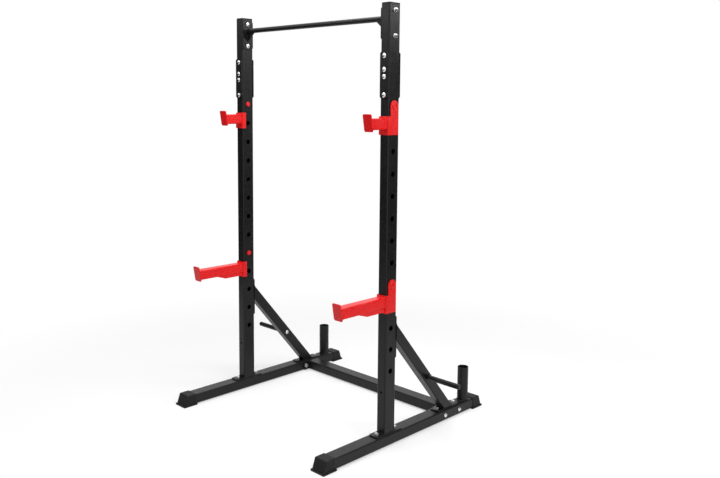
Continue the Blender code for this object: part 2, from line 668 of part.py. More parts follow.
def dome_head(seat):
    """Profile points of a domed head whose underside is at height seat, from its crown down."""
    r, h = DOME_DIAMETER / 2, DOME_HEIGHT
    return [(0, seat + h), (r * DOME_SHOULDER, seat + h * DOME_SHOULDER), (r, seat)]


def washer_points(face):
    """Profile points of a washer under a nut, lying below height face."""
    shank, rim = BOLT_DIAMETER / 2, WASHER_DIAMETER / 2
    return [(shank, face), (rim, face), (rim, face - WASHER_THICKNESS), (shank, face - WASHER_THICKNESS)]


def hexagon(name, bottom, height):
    across_corners = NUT_ACROSS_FLATS / math.cos(math.pi / 6)
    return rod_mesh(name, (0, 0, bottom), (0, 0, bottom + height), across_corners, 6)


def through_bolt(name, grip):
    """Domed bolt along Z with washer and nut below; the parts that it holds lie between 0 and -grip."""
    face = -grip - GAP
    nut_top = face - WASHER_THICKNESS
    tip = nut_top - NUT_HEIGHT - THREAD_PROUD
    shank = BOLT_DIAMETER / 2
    profile = [*dome_head(GAP), (shank, GAP), *washer_points(face), (shank, tip), (0, tip)]
    body = turned(name, profile, BOLT_SIDES)
    nut = hexagon("nut", nut_top - NUT_HEIGHT, NUT_HEIGHT + WASHER_THICKNESS / 2)
    return combined(name, body, [nut])


def hex_bolt(name, grip):
    """Hexagon bolt and washer on top, and the weld nut that it runs into under the wall it holds."""
    seat = GAP + WASHER_THICKNESS
    nut_top = -grip - GAP
    tip = nut_top - NUT_HEIGHT - WELD_NUT_THREAD_PROUD
    shank, rim = BOLT_DIAMETER / 2, WASHER_DIAMETER / 2
    in_head = seat + BOLT_HEAD_HEIGHT / 2
    profile = [(0, in_head), (shank, in_head), (shank, seat), (rim, seat)]
    profile += [(rim, GAP), (shank, GAP), (shank, tip), (0, tip)]
    body = turned(name, profile, BOLT_SIDES)
    head = hexagon("head", seat - WASHER_THICKNESS / 2, BOLT_HEAD_HEIGHT + WASHER_THICKNESS / 2)
    nut = hexagon("nut", nut_top - NUT_HEIGHT, NUT_HEIGHT)
    return combined(name, body, [head, nut])


def peg_bolt_mesh():
    shank = BOLT_DIAMETER / 2
    tip = -(BRACE_SIZE + GAP + PEG_THREAD_DEPTH)
    return turned("peg_bolt", [*dome_head(GAP), (shank, GAP), (shank, tip), (0, tip)], BOLT_SIDES)


def fasteners():
    splice_grip = UPRIGHT_DEPTH + 2 * (PLATE_THICKNESS + GAP)
    splice_bolt = through_bolt("splice_bolt", splice_grip)
    bar_bolt = through_bolt("bar_bolt", UPRIGHT_WIDTH + PLATE_THICKNESS + GAP)
    cross_bolt = through_bolt("crossmember_bolt", RAIL_WIDTH + PLATE_THICKNESS + GAP)
    hex_bolt_shape = hex_bolt("hex_bolt", PLATE_THICKNESS + GAP + TUBE_WALL)
    peg_bolt = peg_bolt_mesh()
    quarter = math.pi / 2
    for side, sign in SIDES:
        x = sign * UPRIGHT_SPACING / 2
        towards_middle = (0, -sign * quarter, 0)
        outwards = (0, sign * quarter, 0)
        front = UPRIGHT_FRONT - GAP - PLATE_THICKNESS
        for i, z in enumerate(splice_bolt_heights(), 1):
            place(f"splice_bolt_{side}_{i}", splice_bolt, ZINC_PLATE, (x, front, z), (quarter, 0, 0))
        flange_x = x - sign * (UPRIGHT_WIDTH / 2 + GAP + PLATE_THICKNESS)
        for i, z in enumerate(bar_bolt_heights(), 1):
            place(f"pull_up_bolt_{side}_{i}", bar_bolt, ZINC_PLATE, (flange_x, UPRIGHT_Y, z), towards_middle)
        for where, ys in (("upright", upright_bolt_ys()), ("brace", brace_bolt_ys())):
            for i, y in enumerate(ys, 1):
                place(f"{where}_base_bolt_{side}_{i}", hex_bolt_shape, ZINC_PLATE, (x, y, PLATE_TOP))
        for i, z in enumerate(brace_flange_bolt_heights(), 1):
            at = (x, BRACE_START.y, z)
            place(f"brace_flange_bolt_{side}_{i}", hex_bolt_shape, ZINC_PLATE, at, (-quarter, 0, 0))
        rail_side = x + sign * RAIL_WIDTH / 2
        rail_middle = (RAIL_BOTTOM + RAIL_TOP) / 2
        for i, y in enumerate(cross_bolt_ys(), 1):
            at = (rail_side, y, rail_middle)
            place(f"crossmember_bolt_{side}_{i}", cross_bolt, ZINC_PLATE, at, outwards)
        brace_side = x - sign * BRACE_SIZE / 2
        place(f"peg_bolt_{side}", peg_bolt, ZINC_PLATE, (brace_side, PEG_Y, PEG_Z), towards_middle)


def bracket_profile():
    """Bent plate seen from above, with the pin axis at Y = 0, the outer cheek at +X: an open U."""
    inside = UPRIGHT_WIDTH / 2 + SLIDE_GAP
    outside = inside + BRACKET_PLATE
    front_in = -UPRIGHT_DEPTH / 2 - GAP
    front_out = front_in - BRACKET_PLATE
    points = [(outside, EAR_RADIUS), (inside, EAR_RADIUS), (inside, front_in), (-inside, front_in),
              (-inside, -INNER_CHEEK_SETBACK), (-outside, -INNER_CHEEK_SETBACK)]
    for sx, start in ((-1, math.pi), (1, 1.5 * math.pi)):
        cx = sx * (outside - BRACKET_BEND)
        cy = front_out + BRACKET_BEND
        for step in range(CORNER_STEPS + 1):
            angle = start + math.pi / 2 * step / CORNER_STEPS
            points.append((cx + BRACKET_BEND * math.cos(angle), cy + BRACKET_BEND * math.sin(angle)))
    return points


def lip_front(reach, z):
    """Y of the lip's front face at a height: its middle stands at reach in front of the pin axis."""
    return -reach - (z + LIP_CENTRE_DROP) * math.tan(LIP_TILT)


def holder_mesh(name, reach, with_rib):
    """Bracket, ear, pin, arm and lip of a J-cup or spotter arm, welded together; the pin axis is X."""
    bottom = -BRACKET_TOP_DROP - BRACKET_HEIGHT
    bracket = extruded("bracket", [bracket_profile()], BRACKET_HEIGHT, frame_along("Z", (0, 0, bottom)))
    inside = UPRIGHT_WIDTH / 2 + SLIDE_GAP
    ear = [(EAR_RADIUS, bottom + BRACKET_HEIGHT / 2)]
    ear += [
        (EAR_RADIUS * math.cos(math.pi * i / EAR_STEPS), EAR_RADIUS * math.sin(math.pi * i / EAR_STEPS))
        for i in range(EAR_STEPS + 1)
    ]
    ear.append((-EAR_RADIUS, bottom + BRACKET_HEIGHT / 2))
    ear_mesh = extruded("ear", [ear], BRACKET_PLATE, frame_along("X", (inside, 0, 0)))
    face = -UPRIGHT_DEPTH / 2 - GAP
    root = face - BRACKET_PLATE / 2
    arm_frame = frame_along("Y", (0, -reach, -ARM_TOP_DROP - ARM_HEIGHT / 2))
    outer = rounded_rectangle(ARM_HEIGHT, ARM_WIDTH, TUBE_CORNER)
    inner = rounded_rectangle(ARM_HEIGHT - 2 * ARM_WALL, ARM_WIDTH - 2 * ARM_WALL, TUBE_CORNER / 2)
    arm = extruded("arm", [outer], root + reach, arm_frame)
    bore = extruded("arm_bore", [inner], face + CUT_OVERRUN + reach, arm_frame)
    half_lip = BRACKET_PLATE / 2 / math.cos(LIP_TILT)
    for mesh, set_in in ((arm, half_lip), (bore, 2 * half_lip)):
        for vert in mesh.vertices:
            if vert.co.y < (root - reach) / 2:
                vert.co.y = lip_front(reach, vert.co.z) + set_in
    lip_centre = Vector((0, -reach, -LIP_CENTRE_DROP))
    outline = [(v, u) for u, v in chamfered_rectangle(LIP_WIDTH, LIP_LENGTH, LIP_CORNER)]
    turn = Matrix.Rotation(LIP_TILT, 4, "X")
    frame = Matrix.Translation(lip_centre) @ turn @ frame_along("Y", (0, 0, 0))
    lip = extruded("lip", [outline], BRACKET_PLATE, frame)
    unions = [ear_mesh, arm, lip, pin_mesh()]
    if with_rib:
        unions.append(rib_mesh(root))
    return combined(name, bracket, unions, [bore])


def rib_mesh(root):
    """Stiffening rib under a spotter arm: full depth near the bracket, then tapering into the arm."""
    top = -ARM_TOP_DROP - ARM_HEIGHT + ARM_WALL / 2
    low = -ARM_TOP_DROP - ARM_HEIGHT - RIB_DEPTH
    flat_end = root - RIB_FLAT_LENGTH
    outline = [(root, top), (root, low), (flat_end, low), (flat_end - RIB_TAPER_LENGTH, top)]
    return extruded("rib", [outline], RIB_WIDTH, frame_along("X", (-RIB_WIDTH / 2, 0, 0)))


def pin_mesh():
    """The pin that a holder hangs on, from its ear through both walls of the upright."""
    ear_outside = UPRIGHT_WIDTH / 2 + SLIDE_GAP + BRACKET_PLATE
    near = (ear_outside + PIN_HEAD_PROUD, 0, 0)
    far = (-UPRIGHT_WIDTH / 2 - PIN_PROUD, 0, 0)
    return rod_mesh("holder_pin", near, far, PIN_DIAMETER, HOLE_SIDES, PIN_CHAMFER)


def mirrored(mesh):
    """The same piece for the other side of the rack."""
    copy = mesh.copy()
    bm = bmesh.new()
    bm.from_mesh(copy)
    bmesh.ops.scale(bm, vec=(-1, 1, 1), verts=bm.verts)
    bmesh.ops.reverse_faces(bm, faces=bm.faces)
    bm.to_mesh(copy)
    bm.free()
    return copy


def holders():
    """J-cups and spotter arms, each on an empty that lies on its pin's axis."""
    kinds = (
        ("j_cup", pin_hole_heights()[-1], holder_mesh("j_cup", J_CUP_REACH, False)),
        ("spotter_arm", pin_hole_heights()[SPOTTER_HOLE], holder_mesh("spotter_arm", SPOTTER_REACH, True)),
    )
    for kind, height, mesh in kinds:
        for side, sign in SIDES:
            pivot = bpy.data.objects.new(f"{kind}_{side}_pivot", None)
            pivot.location = (sign * UPRIGHT_SPACING / 2, UPRIGHT_Y, height)
            parts.objects.link(pivot)
            shape = mesh if sign > 0 else mirrored(mesh)
            place(f"{kind}_{side}", shape, RED_POWDER_COAT, parent=pivot)


def main():
    global parts, cutters
    clear_scene()
    parts = new_collection("power_rack")
    cutters = new_collection("cutters", hidden=True)
    base_rails()
    feet()
    lower_uprights()
    upper_uprights()
    top_caps()
    splice_plates()
    pull_up_bar()
    braces()
    crossmember()
    bar_holders()
    storage_pegs()
    fasteners()
    holders()


main()
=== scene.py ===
"""Looks of the power rack: finer pieces, welds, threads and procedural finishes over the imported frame.

Metres, in the part's own frame: X from the left upright to the right one, Y from front to back, Z up
from the floor.
"""

import math

import bmesh
import bpy
from mathutils import Matrix, Vector, noise

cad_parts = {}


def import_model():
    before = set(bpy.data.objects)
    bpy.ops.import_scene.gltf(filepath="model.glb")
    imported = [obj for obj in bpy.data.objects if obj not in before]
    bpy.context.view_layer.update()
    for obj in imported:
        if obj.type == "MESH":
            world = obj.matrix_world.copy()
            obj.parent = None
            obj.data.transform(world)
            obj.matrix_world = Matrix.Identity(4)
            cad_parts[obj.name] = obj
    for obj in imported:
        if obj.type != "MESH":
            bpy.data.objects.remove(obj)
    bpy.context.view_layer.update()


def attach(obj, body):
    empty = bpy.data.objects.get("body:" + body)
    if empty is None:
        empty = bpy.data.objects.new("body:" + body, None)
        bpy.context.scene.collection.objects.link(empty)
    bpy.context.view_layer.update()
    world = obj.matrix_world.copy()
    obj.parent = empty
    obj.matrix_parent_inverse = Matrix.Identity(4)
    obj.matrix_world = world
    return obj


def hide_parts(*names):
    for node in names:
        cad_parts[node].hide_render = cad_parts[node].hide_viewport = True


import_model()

# Sizes of the frame, which the solids have too
GAP = 0.0003
BASE_LENGTH = 1.130
SPACING = 1.040
UPRIGHT_FRONT = -0.170
UPRIGHT_REAR = -0.100
UPRIGHT_Y = -0.135
JOINT_HEIGHT = 1.690
TUBE_TOP = 1.992
WALL = 0.002
CORNER = 0.006
UPRIGHT_WIDTH = 0.050
UPRIGHT_DEPTH = 0.070
RAIL_WIDTH = 0.070
RAIL_HEIGHT = 0.050
RAIL_TOP = 0.054
RAIL_MIDDLE = 0.029
PLATE = 0.005
PLATE_CHAMFER = 0.006
PLATE_BOTTOM = RAIL_TOP + GAP
PLATE_TOP = PLATE_BOTTOM + PLATE
UPRIGHT_FOOT = (0.056, 0.170)
SPLICE_PLATE = (0.048, 0.201)
SPLICE_ABOVE_JOINT = 0.095
BRACE_SIZE = 0.050
BRACE_TOP_HEIGHT = 0.5245
BRACE_REACH = 0.4005
BRACE_START = Vector((0, UPRIGHT_REAR + GAP + PLATE, BRACE_TOP_HEIGHT))
BRACE_END = Vector((0, UPRIGHT_REAR + BRACE_REACH + GAP, PLATE_TOP))
BRACE_SLOPE = (BRACE_END - BRACE_START).normalized()
BRACE_FLANGE = (0.047, 0.198)
BRACE_FLANGE_CENTRE = 0.501
BRACE_FOOT = (0.052, 0.172)
BRACE_FOOT_FRONT = BRACE_END.y - 0.0825
CROSS_Y = 0.3245
CROSS_WIDTH = 0.070
CROSS_FLANGE = (0.150, 0.048)
HOLDER_Y = 0.4485
HOLDER_DIAMETER = 0.055
HOLDER_WALL = 0.0015
HOLDER_HEIGHT = 0.172
PEG_Y = 0.1355
PEG_Z = BRACE_START.z + BRACE_SLOPE.z / BRACE_SLOPE.y * (PEG_Y - BRACE_START.y)
PEG_DIAMETER = 0.025
PEG_LENGTH = 0.190
PEG_CHAMFER = 0.002
PEG_THREAD_DEPTH = 0.03
BAR_Z = 1.931
BAR_DIAMETER = 0.025
BAR_BORE = 0.020
BAR_FLANGE = (0.064, 0.140)
BAR_FLANGE_Z = 1.909
GUSSET_REACH = 0.052
GUSSET_DROP = 0.043
GUSSET_THICKNESS = 0.004

# Caps in the uprights, and feet on the rails
CAP_RIM = 0.005
CAP_STEPS = 8
CAP_CROWN = 0.0018
CAP_CROWN_STEPS = 5
CAP_INSET = 0.0048
CAP_SKIRT = 0.0145
CAP_SKIRT_DROP = 0.012
CAP_WALL = 0.002
CAP_CORNER = 0.005
FOOT_LENGTH = 0.081
FOOT_WIDTH = 0.084
FOOT_INSET = 0.026
FOOT_ROOF = RAIL_TOP + 0.0035
FOOT_CHEEK = 0.0025
FOOT_LEDGE = 0.004
FOOT_SLOPE = 0.018
FOOT_FLANGE = 0.008
FOOT_FLANGE_EDGE = 0.0014
FOOT_FLANGE_EDGE_STEPS = 4
FOOT_ROUNDING = 0.005
FOOT_STEPS = 6
FOOT_PROFILE = 0.5
FOOT_EDGE = 0.0005
FOOT_SHARP_ANGLE = 50
FOOT_ROOM_WIDE = 0.001
FOOT_ROOM_LONG = 0.0005

# Holes, and where bolts run through
PIN_HOLE = 0.025
PIN_HEIGHTS = [0.350 + 0.100 * i for i in range(13)]
PILOT_HEIGHT = 0.2515
BOLT = 0.010
BOLT_HOLE = 0.011
UPRIGHT_BOLTS = (-0.195, -0.075)
BRACE_BOLTS = (BRACE_END.y - 0.0605, BRACE_END.y + 0.069)
CROSS_BOLTS = (0.26825, 0.38075)
SPLICE_BOLTS = (1.768, 1.708, 1.677, 1.5975)
BAR_BOLTS = (1.9645, 1.8535)
BRACE_FLANGE_BOLTS = (0.580, 0.422)

# J-cups and spotter arms, from the axis of their pin; holes are counted up from 0
J_CUP_REACH = 0.140
SPOTTER_REACH = 0.316
J_CUP_HOLE = 12
SPOTTER_HOLE = 4
EAR_RADIUS = 0.025
BRACKET_TOP = -0.045
BRACKET_HEIGHT = 0.082
BRACKET_REAR = -0.017
BRACKET_BEND = 0.006
BRACKET_INNER_BEND = 0.0012
INSIDE = UPRIGHT_WIDTH / 2 + 0.0006
OUTSIDE = INSIDE + PLATE
BRACKET_FACE = -UPRIGHT_DEPTH / 2 - GAP
ARM_WIDTH = 0.049
ARM_HEIGHT = 0.050
ARM_WALL = 0.003
ARM_INNER_CORNER = 0.003
ARM_MIDDLE = -0.0785
LIP_TILT = math.radians(9.6)
LIP_CENTRE = -0.074
LIP_WIDTH = 0.051
LIP_LENGTH = 0.078
LIP_CHAMFER = 0.005
RIB_WIDTH = 0.045
RIB_DEPTH = 0.0155
RIB_FLAT = 0.115
RIB_TAPER = 0.055
RIB_SUNK = 0.001
RIB_EDGE = 0.0012
RIB_EDGE_STEPS = 3
RIB_WELD_INSIDE = 0.97
RIB_WELD_SHORT = 0.004
PIN_RADIUS = PIN_HOLE / 2 - 0.0005
PIN_SUNK = 0.0013
PIN_CHAMFER = 0.0015
PIN_WELD_OUT = 0.0012
PIN_END = -UPRIGHT_WIDTH / 2 - 0.005

SIDES = (("left", -1), ("right", 1))
AXES = {"X": Vector((1, 0, 0)), "Y": Vector((0, 1, 0)), "Z": Vector((0, 0, 1))}
ALONG_X = Matrix.Rotation(math.pi / 2, 4, "Y")

# Fineness of the visible pieces, how far their sharp edges are rounded, and a tenth of a millimetre
HOLE_SIDES = 40
PLATE_HOLE_SIDES = 24
ROUND_SIDES = 64
CORNER_STEPS = 5
EDGE = 0.0006
TUBE_EDGE = 0.0004
PLATE_EDGE = 0.0008
BRACKET_EDGE = 0.0009
EDGE_STEPS = 2
EDGE_PROFILE = 0.6
SHARP_ANGLE = 38
FLAT_ANGLE = 0.5
MERGE_DISTANCE = 1e-6
NORMAL_WEIGHT = 60
TENTH = 0.0001

scene = bpy.context.scene
helpers = bpy.data.collections.new("helpers")
helpers.hide_render = True
scene.collection.children.link(helpers)


# --- Mesh building ---


def mesh_from(bm):
    """The mesh of bm, all faces turned outward."""
    bmesh.ops.recalc_face_normals(bm, faces=bm.faces)
    mesh = bpy.data.meshes.new("piece")
    bm.to_mesh(mesh)
    bm.free()
    return mesh


def evaluated(mesh, kind, settings):
    """The mesh after a modifier of some kind."""
    obj = bpy.data.objects.new("helper", mesh)
    helpers.objects.link(obj)
    modifier = obj.modifiers.new(kind, kind)
    for key, value in settings.items():
        setattr(modifier, key, value)
    bpy.context.view_layer.update()
    graph = bpy.context.evaluated_depsgraph_get()
    source = obj.evaluated_get(graph)
    made = bpy.data.meshes.new_from_object(source, preserve_all_data_layers=True, depsgraph=graph)
    bpy.data.objects.remove(obj)
    return made


def softened(mesh, width, segments=EDGE_STEPS, angle=SHARP_ANGLE):
    """The mesh with its sharp edges rounded over."""
    settings = {
        "width": width,
        "segments": segments,
        "limit_method": "ANGLE",
        "angle_limit": math.radians(angle),
        "use_clamp_overlap": True,
        "miter_outer": "MITER_ARC",
        "profile": EDGE_PROFILE,
    }
    return evaluated(mesh, "BEVEL", settings)


def cleaned(mesh):
    """The mesh with the triangles of each flat face merged."""
    bm = bmesh.new()
    bm.from_mesh(mesh)
    bmesh.ops.remove_doubles(bm, verts=bm.verts, dist=MERGE_DISTANCE)
    bmesh.ops.dissolve_limit(
        bm,
        angle_limit=math.radians(FLAT_ANGLE),
        verts=bm.verts,
        edges=bm.edges,
        use_dissolve_boundaries=False,
    )
    return mesh_from(bm)


def gathered(meshes):
    """The meshes as one."""
    bm = bmesh.new()
    for mesh in meshes:
        bm.from_mesh(mesh)
    return mesh_from(bm)


def moved(mesh, matrix):
    """A copy of the mesh, moved or mirrored by the matrix."""
    copy = mesh.copy()
    copy.transform(matrix)
    if matrix.determinant() < 0:
        copy.flip_normals()
    return copy


def cut(mesh, cutters, operation="DIFFERENCE"):
    """The mesh less the cutters, or joined with them."""
    tool = bpy.data.objects.new("cutter", gathered(cutters))
    helpers.objects.link(tool)
    made = evaluated(mesh, "BOOLEAN", {"object": tool, "operation": operation, "solver": "EXACT"})
    bpy.data.objects.remove(tool)
    return cleaned(made)


def axes(axis, origin):
    """Axes for an outline: along X it is drawn in (Y, Z), along Y in (Z, X), along Z in (X, Y)."""
    order = {"X": "YZX", "Y": "ZXY", "Z": "XYZ"}[axis]
    turn = Matrix([AXES[name] for name in order]).transposed().to_4x4()
    return Matrix.Translation(origin) @ turn


def extruded(loops, depth, place):
    """A flat outline with any holes, extruded from 0 to depth along the third axis of its place."""
    curve = bpy.data.curves.new("outline", "CURVE")
    curve.dimensions = "2D"
    curve.fill_mode = "BOTH"
    curve.extrude = depth / 2
    for loop in loops:
        spline = curve.splines.new("POLY")
        spline.points.add(len(loop) - 1)
        for point, (u, v) in zip(spline.points, loop):
            point.co = (u, v, 0, 1)
        spline.use_cyclic_u = True
    guide = bpy.data.objects.new("outline", curve)
    helpers.objects.link(guide)
    bpy.context.view_layer.update()
    mesh = bpy.data.meshes.new_from_object(guide.evaluated_get(bpy.context.evaluated_depsgraph_get()))
    bpy.data.objects.remove(guide)
    bpy.data.curves.remove(curve)
    mesh.transform(place @ Matrix.Translation((0, 0, depth / 2)))
    return cleaned(mesh)


def rounded_rectangle(width, height, radius, steps=CORNER_STEPS, centre=(0.0, 0.0)):
    points = []
    for i, (sx, sy) in enumerate(((1, 1), (-1, 1), (-1, -1), (1, -1))):
        cx = centre[0] + sx * (width / 2 - radius)
        cy = centre[1] + sy * (height / 2 - radius)
        for step in range(steps + 1):
            angle = math.pi / 2 * (i + step / steps)
            points.append((cx + radius * math.cos(angle), cy + radius * math.sin(angle)))
    return points


def chamfered_rectangle(width, height, chamfer=PLATE_CHAMFER):
    w, h, c = width / 2, height / 2, chamfer
    half = [(w, c - h), (w, h - c), (w - c, h), (c - w, h)]
    return half + [(-u, -v) for u, v in half]


def swapped(outline):
    """The outline with its two axes exchanged."""
    return [(v, u) for u, v in outline]


def circle(diameter, sides, centre=(0.0, 0.0)):
    radius = diameter / 2
    turns = [2 * math.pi * (i + 0.5) / sides for i in range(sides)]
    return [(centre[0] + radius * math.cos(a), centre[1] + radius * math.sin(a)) for a in turns]


def tube_loops(width, height, wall=WALL, corner=CORNER):
    """The outside and the inside of a rectangular tube."""
    inside = rounded_rectangle(width - 2 * wall, height - 2 * wall, corner - wall / 2)
    return [rounded_rectangle(width, height, corner), inside]


def tube(width, height, length, place, wall=WALL, corner=CORNER, cuts=()):
    mesh = extruded(tube_loops(width, height, wall, corner), length, place)
    return softened(cut(mesh, cuts) if cuts else mesh, TUBE_EDGE)


def through(axis, centre, reach, diameter=BOLT_HOLE):
    """A rod that cuts a round hole along an axis, reaching as far on both sides of centre."""
    radius = diameter / 2
    bm = bmesh.new()
    bmesh.ops.create_cone(
        bm, cap_ends=True, segments=HOLE_SIDES, radius1=radius, radius2=radius, depth=2 * reach
    )
    turn = AXES["Z"].rotation_difference(AXES[axis]).to_matrix().to_4x4()
    bmesh.ops.transform(bm, matrix=Matrix.Translation(centre) @ turn, verts=bm.verts)
    return mesh_from(bm)


def skinned(bm, rings):
    """Faces between each ring of points and the next, where a ring may be a single point."""
    count = max(len(ring) for ring in rings)
    for upper, lower in zip(rings, rings[1:]):
        for i in range(count):
            j = i + 1
            corners = (
                upper[i % len(upper)],
                upper[j % len(upper)],
                lower[j % len(lower)],
                lower[i % len(lower)],
            )
            unique = list(dict.fromkeys(corners))
            if len(unique) > 2:
                bm.faces.new(unique)


def turned(profile, sides=ROUND_SIDES):
    """The profile, as (radius, height) from its top down, spun about Z."""
    bm = bmesh.new()
    turns = [2 * math.pi * i / sides for i in range(sides)]
    rings = []
    for r, z in profile:
        if r == 0:
            rings.append([bm.verts.new((0, 0, z))])
        else:
            rings.append([bm.verts.new((r * math.cos(t), r * math.sin(t), z)) for t in turns])
    skinned(bm, rings)
    return mesh_from(bm)


def arc(centre, radius, start, end, steps):
    """Points on an arc from a start to an end angle, in degrees."""
    turns = [math.radians(start + (end - start) * i / steps) for i in range(steps + 1)]
    return [(centre[0] + radius * math.cos(a), centre[1] + radius * math.sin(a)) for a in turns]


# --- Weld beads ---

WELD = 0.0026
THIN_WELD = 0.0022
ARM_WELD = 0.0024
PIN_WELD = 0.0027
GUSSET_WELD = 0.0017
RIB_WELD = 0.0016
BEAD_STEP = 0.0011
BEAD_LEAST_STEPS = 4
BEAD_SIDES = 8
BEAD_STEEP = 0.9
BEAD_LEAST = 0.86
BEAD_UNEVEN = 0.09
BEAD_UNEVEN_SCALE = 130
BEAD_END = 0.45
BEAD_END_RISE = 0.22
RIPPLE_PITCH = 0.0034
RIPPLE_HEIGHT = 0.2


def spaced(points, step):
    """(distance, point) at about even steps along a path, from its start to its end."""
    length = sum((b - a).length for a, b in zip(points, points[1:]))
    steps = max(BEAD_LEAST_STEPS, round(length / step))
    spots = []
    travelled, i = 0.0, 0
    for k in range(steps + 1):
        along = length * k / steps
        while i < len(points) - 2 and travelled + (points[i + 1] - points[i]).length < along:
            travelled += (points[i + 1] - points[i]).length
            i += 1
        edge = points[i + 1] - points[i]
        spots.append((along, points[i] + edge * min(1.0, (along - travelled) / max(edge.length, 1e-9))))
    return spots


def bead(points, radius=WELD, closed=True, seed=0.0):
    """A rippled weld bead along a path that lies in the corner it fills."""
    points = [Vector(p) for p in points]
    centres = spaced(points + points[:1], BEAD_STEP)[:-1] if closed else spaced(points, BEAD_STEP)
    last = len(centres) - 1
    turns = [2 * math.pi * i / BEAD_SIDES for i in range(BEAD_SIDES)]
    bm = bmesh.new()
    rings = []
    for k, (along, centre) in enumerate(centres):
        before = centres[k - 1][1] if closed or k else centre
        after = centres[(k + 1) % len(centres)][1] if closed or k < last else centre
        run = (after - before).normalized()
        upright = abs(run.z) >= BEAD_STEEP
        side = (run.orthogonal() if upright else run.cross(AXES["Z"])).normalized()
        over = run.cross(side)
        swell = BEAD_LEAST + RIPPLE_HEIGHT * math.sqrt(1 - (along / RIPPLE_PITCH) % 1.0)
        swell *= 1 + BEAD_UNEVEN * noise.noise(centre * BEAD_UNEVEN_SCALE + Vector((seed, 0, 0)))
        if not closed:
            swell *= min(1.0, BEAD_END + min(k, last - k) * BEAD_END_RISE)
        spokes = [side * math.cos(t) + over * math.sin(t) for t in turns]
        rings.append([bm.verts.new(centre + spoke * (radius * swell)) for spoke in spokes])
    if closed:
        skinned(bm, rings + rings[:1])
    else:
        skinned(bm, rings)
        bm.faces.new(rings[0])
        bm.faces.new(list(reversed(rings[-1])))
    return mesh_from(bm)


def ring_path(outline, place):
    """A flat outline as points in space."""
    return [place @ Vector((u, v, 0)) for u, v in outline]


def slice_path(outline, place, axis, level):
    """Where an outline, run along the third axis of its place, meets the plane at a level of an axis."""
    number = "XYZ".index(axis)
    run = place.to_3x3() @ AXES["Z"]
    return [start + run * ((level - start[number]) / run[number]) for start in ring_path(outline, place)]


# --- Finishes ---


def ranged(tree, source, low, high, start=0.0, end=1.0, blend="LINEAR"):
    """What goes from low to high as source goes from start to end."""
    node = tree.nodes.new("ShaderNodeMapRange")
    node.interpolation_type = blend
    node.inputs["From Min"].default_value = start
    node.inputs["From Max"].default_value = end
    node.inputs["To Min"].default_value = low
    node.inputs["To Max"].default_value = high
    tree.links.new(source, node.inputs["Value"])
    return node.outputs["Result"]


def new_material(name):
    made = bpy.data.materials.new(name)
    made.use_nodes = True
    return made


class Nodes:
    """Short ways to add nodes to one material."""

    def __init__(self, name):
        self.material = new_material(name)
        self.tree = self.material.node_tree
        self.shader = self.tree.nodes["Principled BSDF"]
        self.place = self.tree.nodes.new("ShaderNodeTexCoord").outputs["Object"]

    def link(self, source, target):
        self.tree.links.new(source, target)

    def noise(self, scale, detail, roughness=0.5, stretch=None):
        place = self.place
        if stretch:
            mapping = self.tree.nodes.new("ShaderNodeMapping")
            mapping.inputs["Scale"].default_value = stretch
            self.link(place, mapping.inputs["Vector"])
            place = mapping.outputs["Vector"]
        node = self.tree.nodes.new("ShaderNodeTexNoise")
        node.inputs["Scale"].default_value = scale
        node.inputs["Detail"].default_value = detail
        node.inputs["Roughness"].default_value = roughness
        self.link(place, node.inputs["Vector"])
        return node.outputs["Fac"]

    def cells(self, scale):
        node = self.tree.nodes.new("ShaderNodeTexVoronoi")
        node.feature = "SMOOTH_F1"
        node.inputs["Scale"].default_value = scale
        self.link(self.place, node.inputs["Vector"])
        return node.outputs["Distance"]

    def ramp(self, source, *stops):
        """Colours by source, each (position, colour)."""
        node = self.tree.nodes.new("ShaderNodeValToRGB")
        first, last = node.color_ramp.elements
        first.position, last.position = stops[0][0], stops[-1][0]
        first.color, last.color = (*stops[0][1], 1), (*stops[-1][1], 1)
        for position, colour in stops[1:-1]:
            node.color_ramp.elements.new(position).color = (*colour, 1)
        self.link(source, node.inputs["Fac"])
        return node.outputs["Color"]

    def spread(self, source, low, high):
        """From low to high over the middle of what a noise gives."""
        return ranged(self.tree, source, low, high, 0.3, 0.7)

    def bumps(self, *layers):
        """Bumps on top of each other, each (height, strength, depth in metres)."""
        below = None
        for height, strength, depth in layers:
            node = self.tree.nodes.new("ShaderNodeBump")
            node.inputs["Strength"].default_value = strength
            node.inputs["Distance"].default_value = depth
            self.link(height, node.inputs["Height"])
            if below:
                self.link(below, node.inputs["Normal"])
            below = node.outputs["Normal"]
        self.link(below, self.shader.inputs["Normal"])

    def paint(self, colour, roughness, metallic=0.0, specular=0.5):
        self.link(colour, self.shader.inputs["Base Color"])
        self.link(roughness, self.shader.inputs["Roughness"])
        self.shader.inputs["Metallic"].default_value = metallic
        self.shader.inputs["Specular IOR Level"].default_value = specular
        return self.material


def black_powder_coat():
    """Satin black powder coat: a pebbled skin with paler grains, a little uneven in gloss."""
    n = Nodes("black_powder_coat")
    dark, skin, grain = (0.0035, 0.0035, 0.0037), (0.0068, 0.0068, 0.0070), (0.0118, 0.0118, 0.0120)
    colour = n.ramp(n.noise(270, detail=4, roughness=0.72), (0.34, dark), (0.50, skin), (0.66, grain))
    roughness = n.spread(n.noise(38, detail=4, roughness=0.6), 0.28, 0.38)
    n.bumps((n.noise(210, detail=1), 0.16, 0.0003), (n.cells(640), 0.55, 0.00022))
    return n.paint(colour, roughness, specular=0.23)


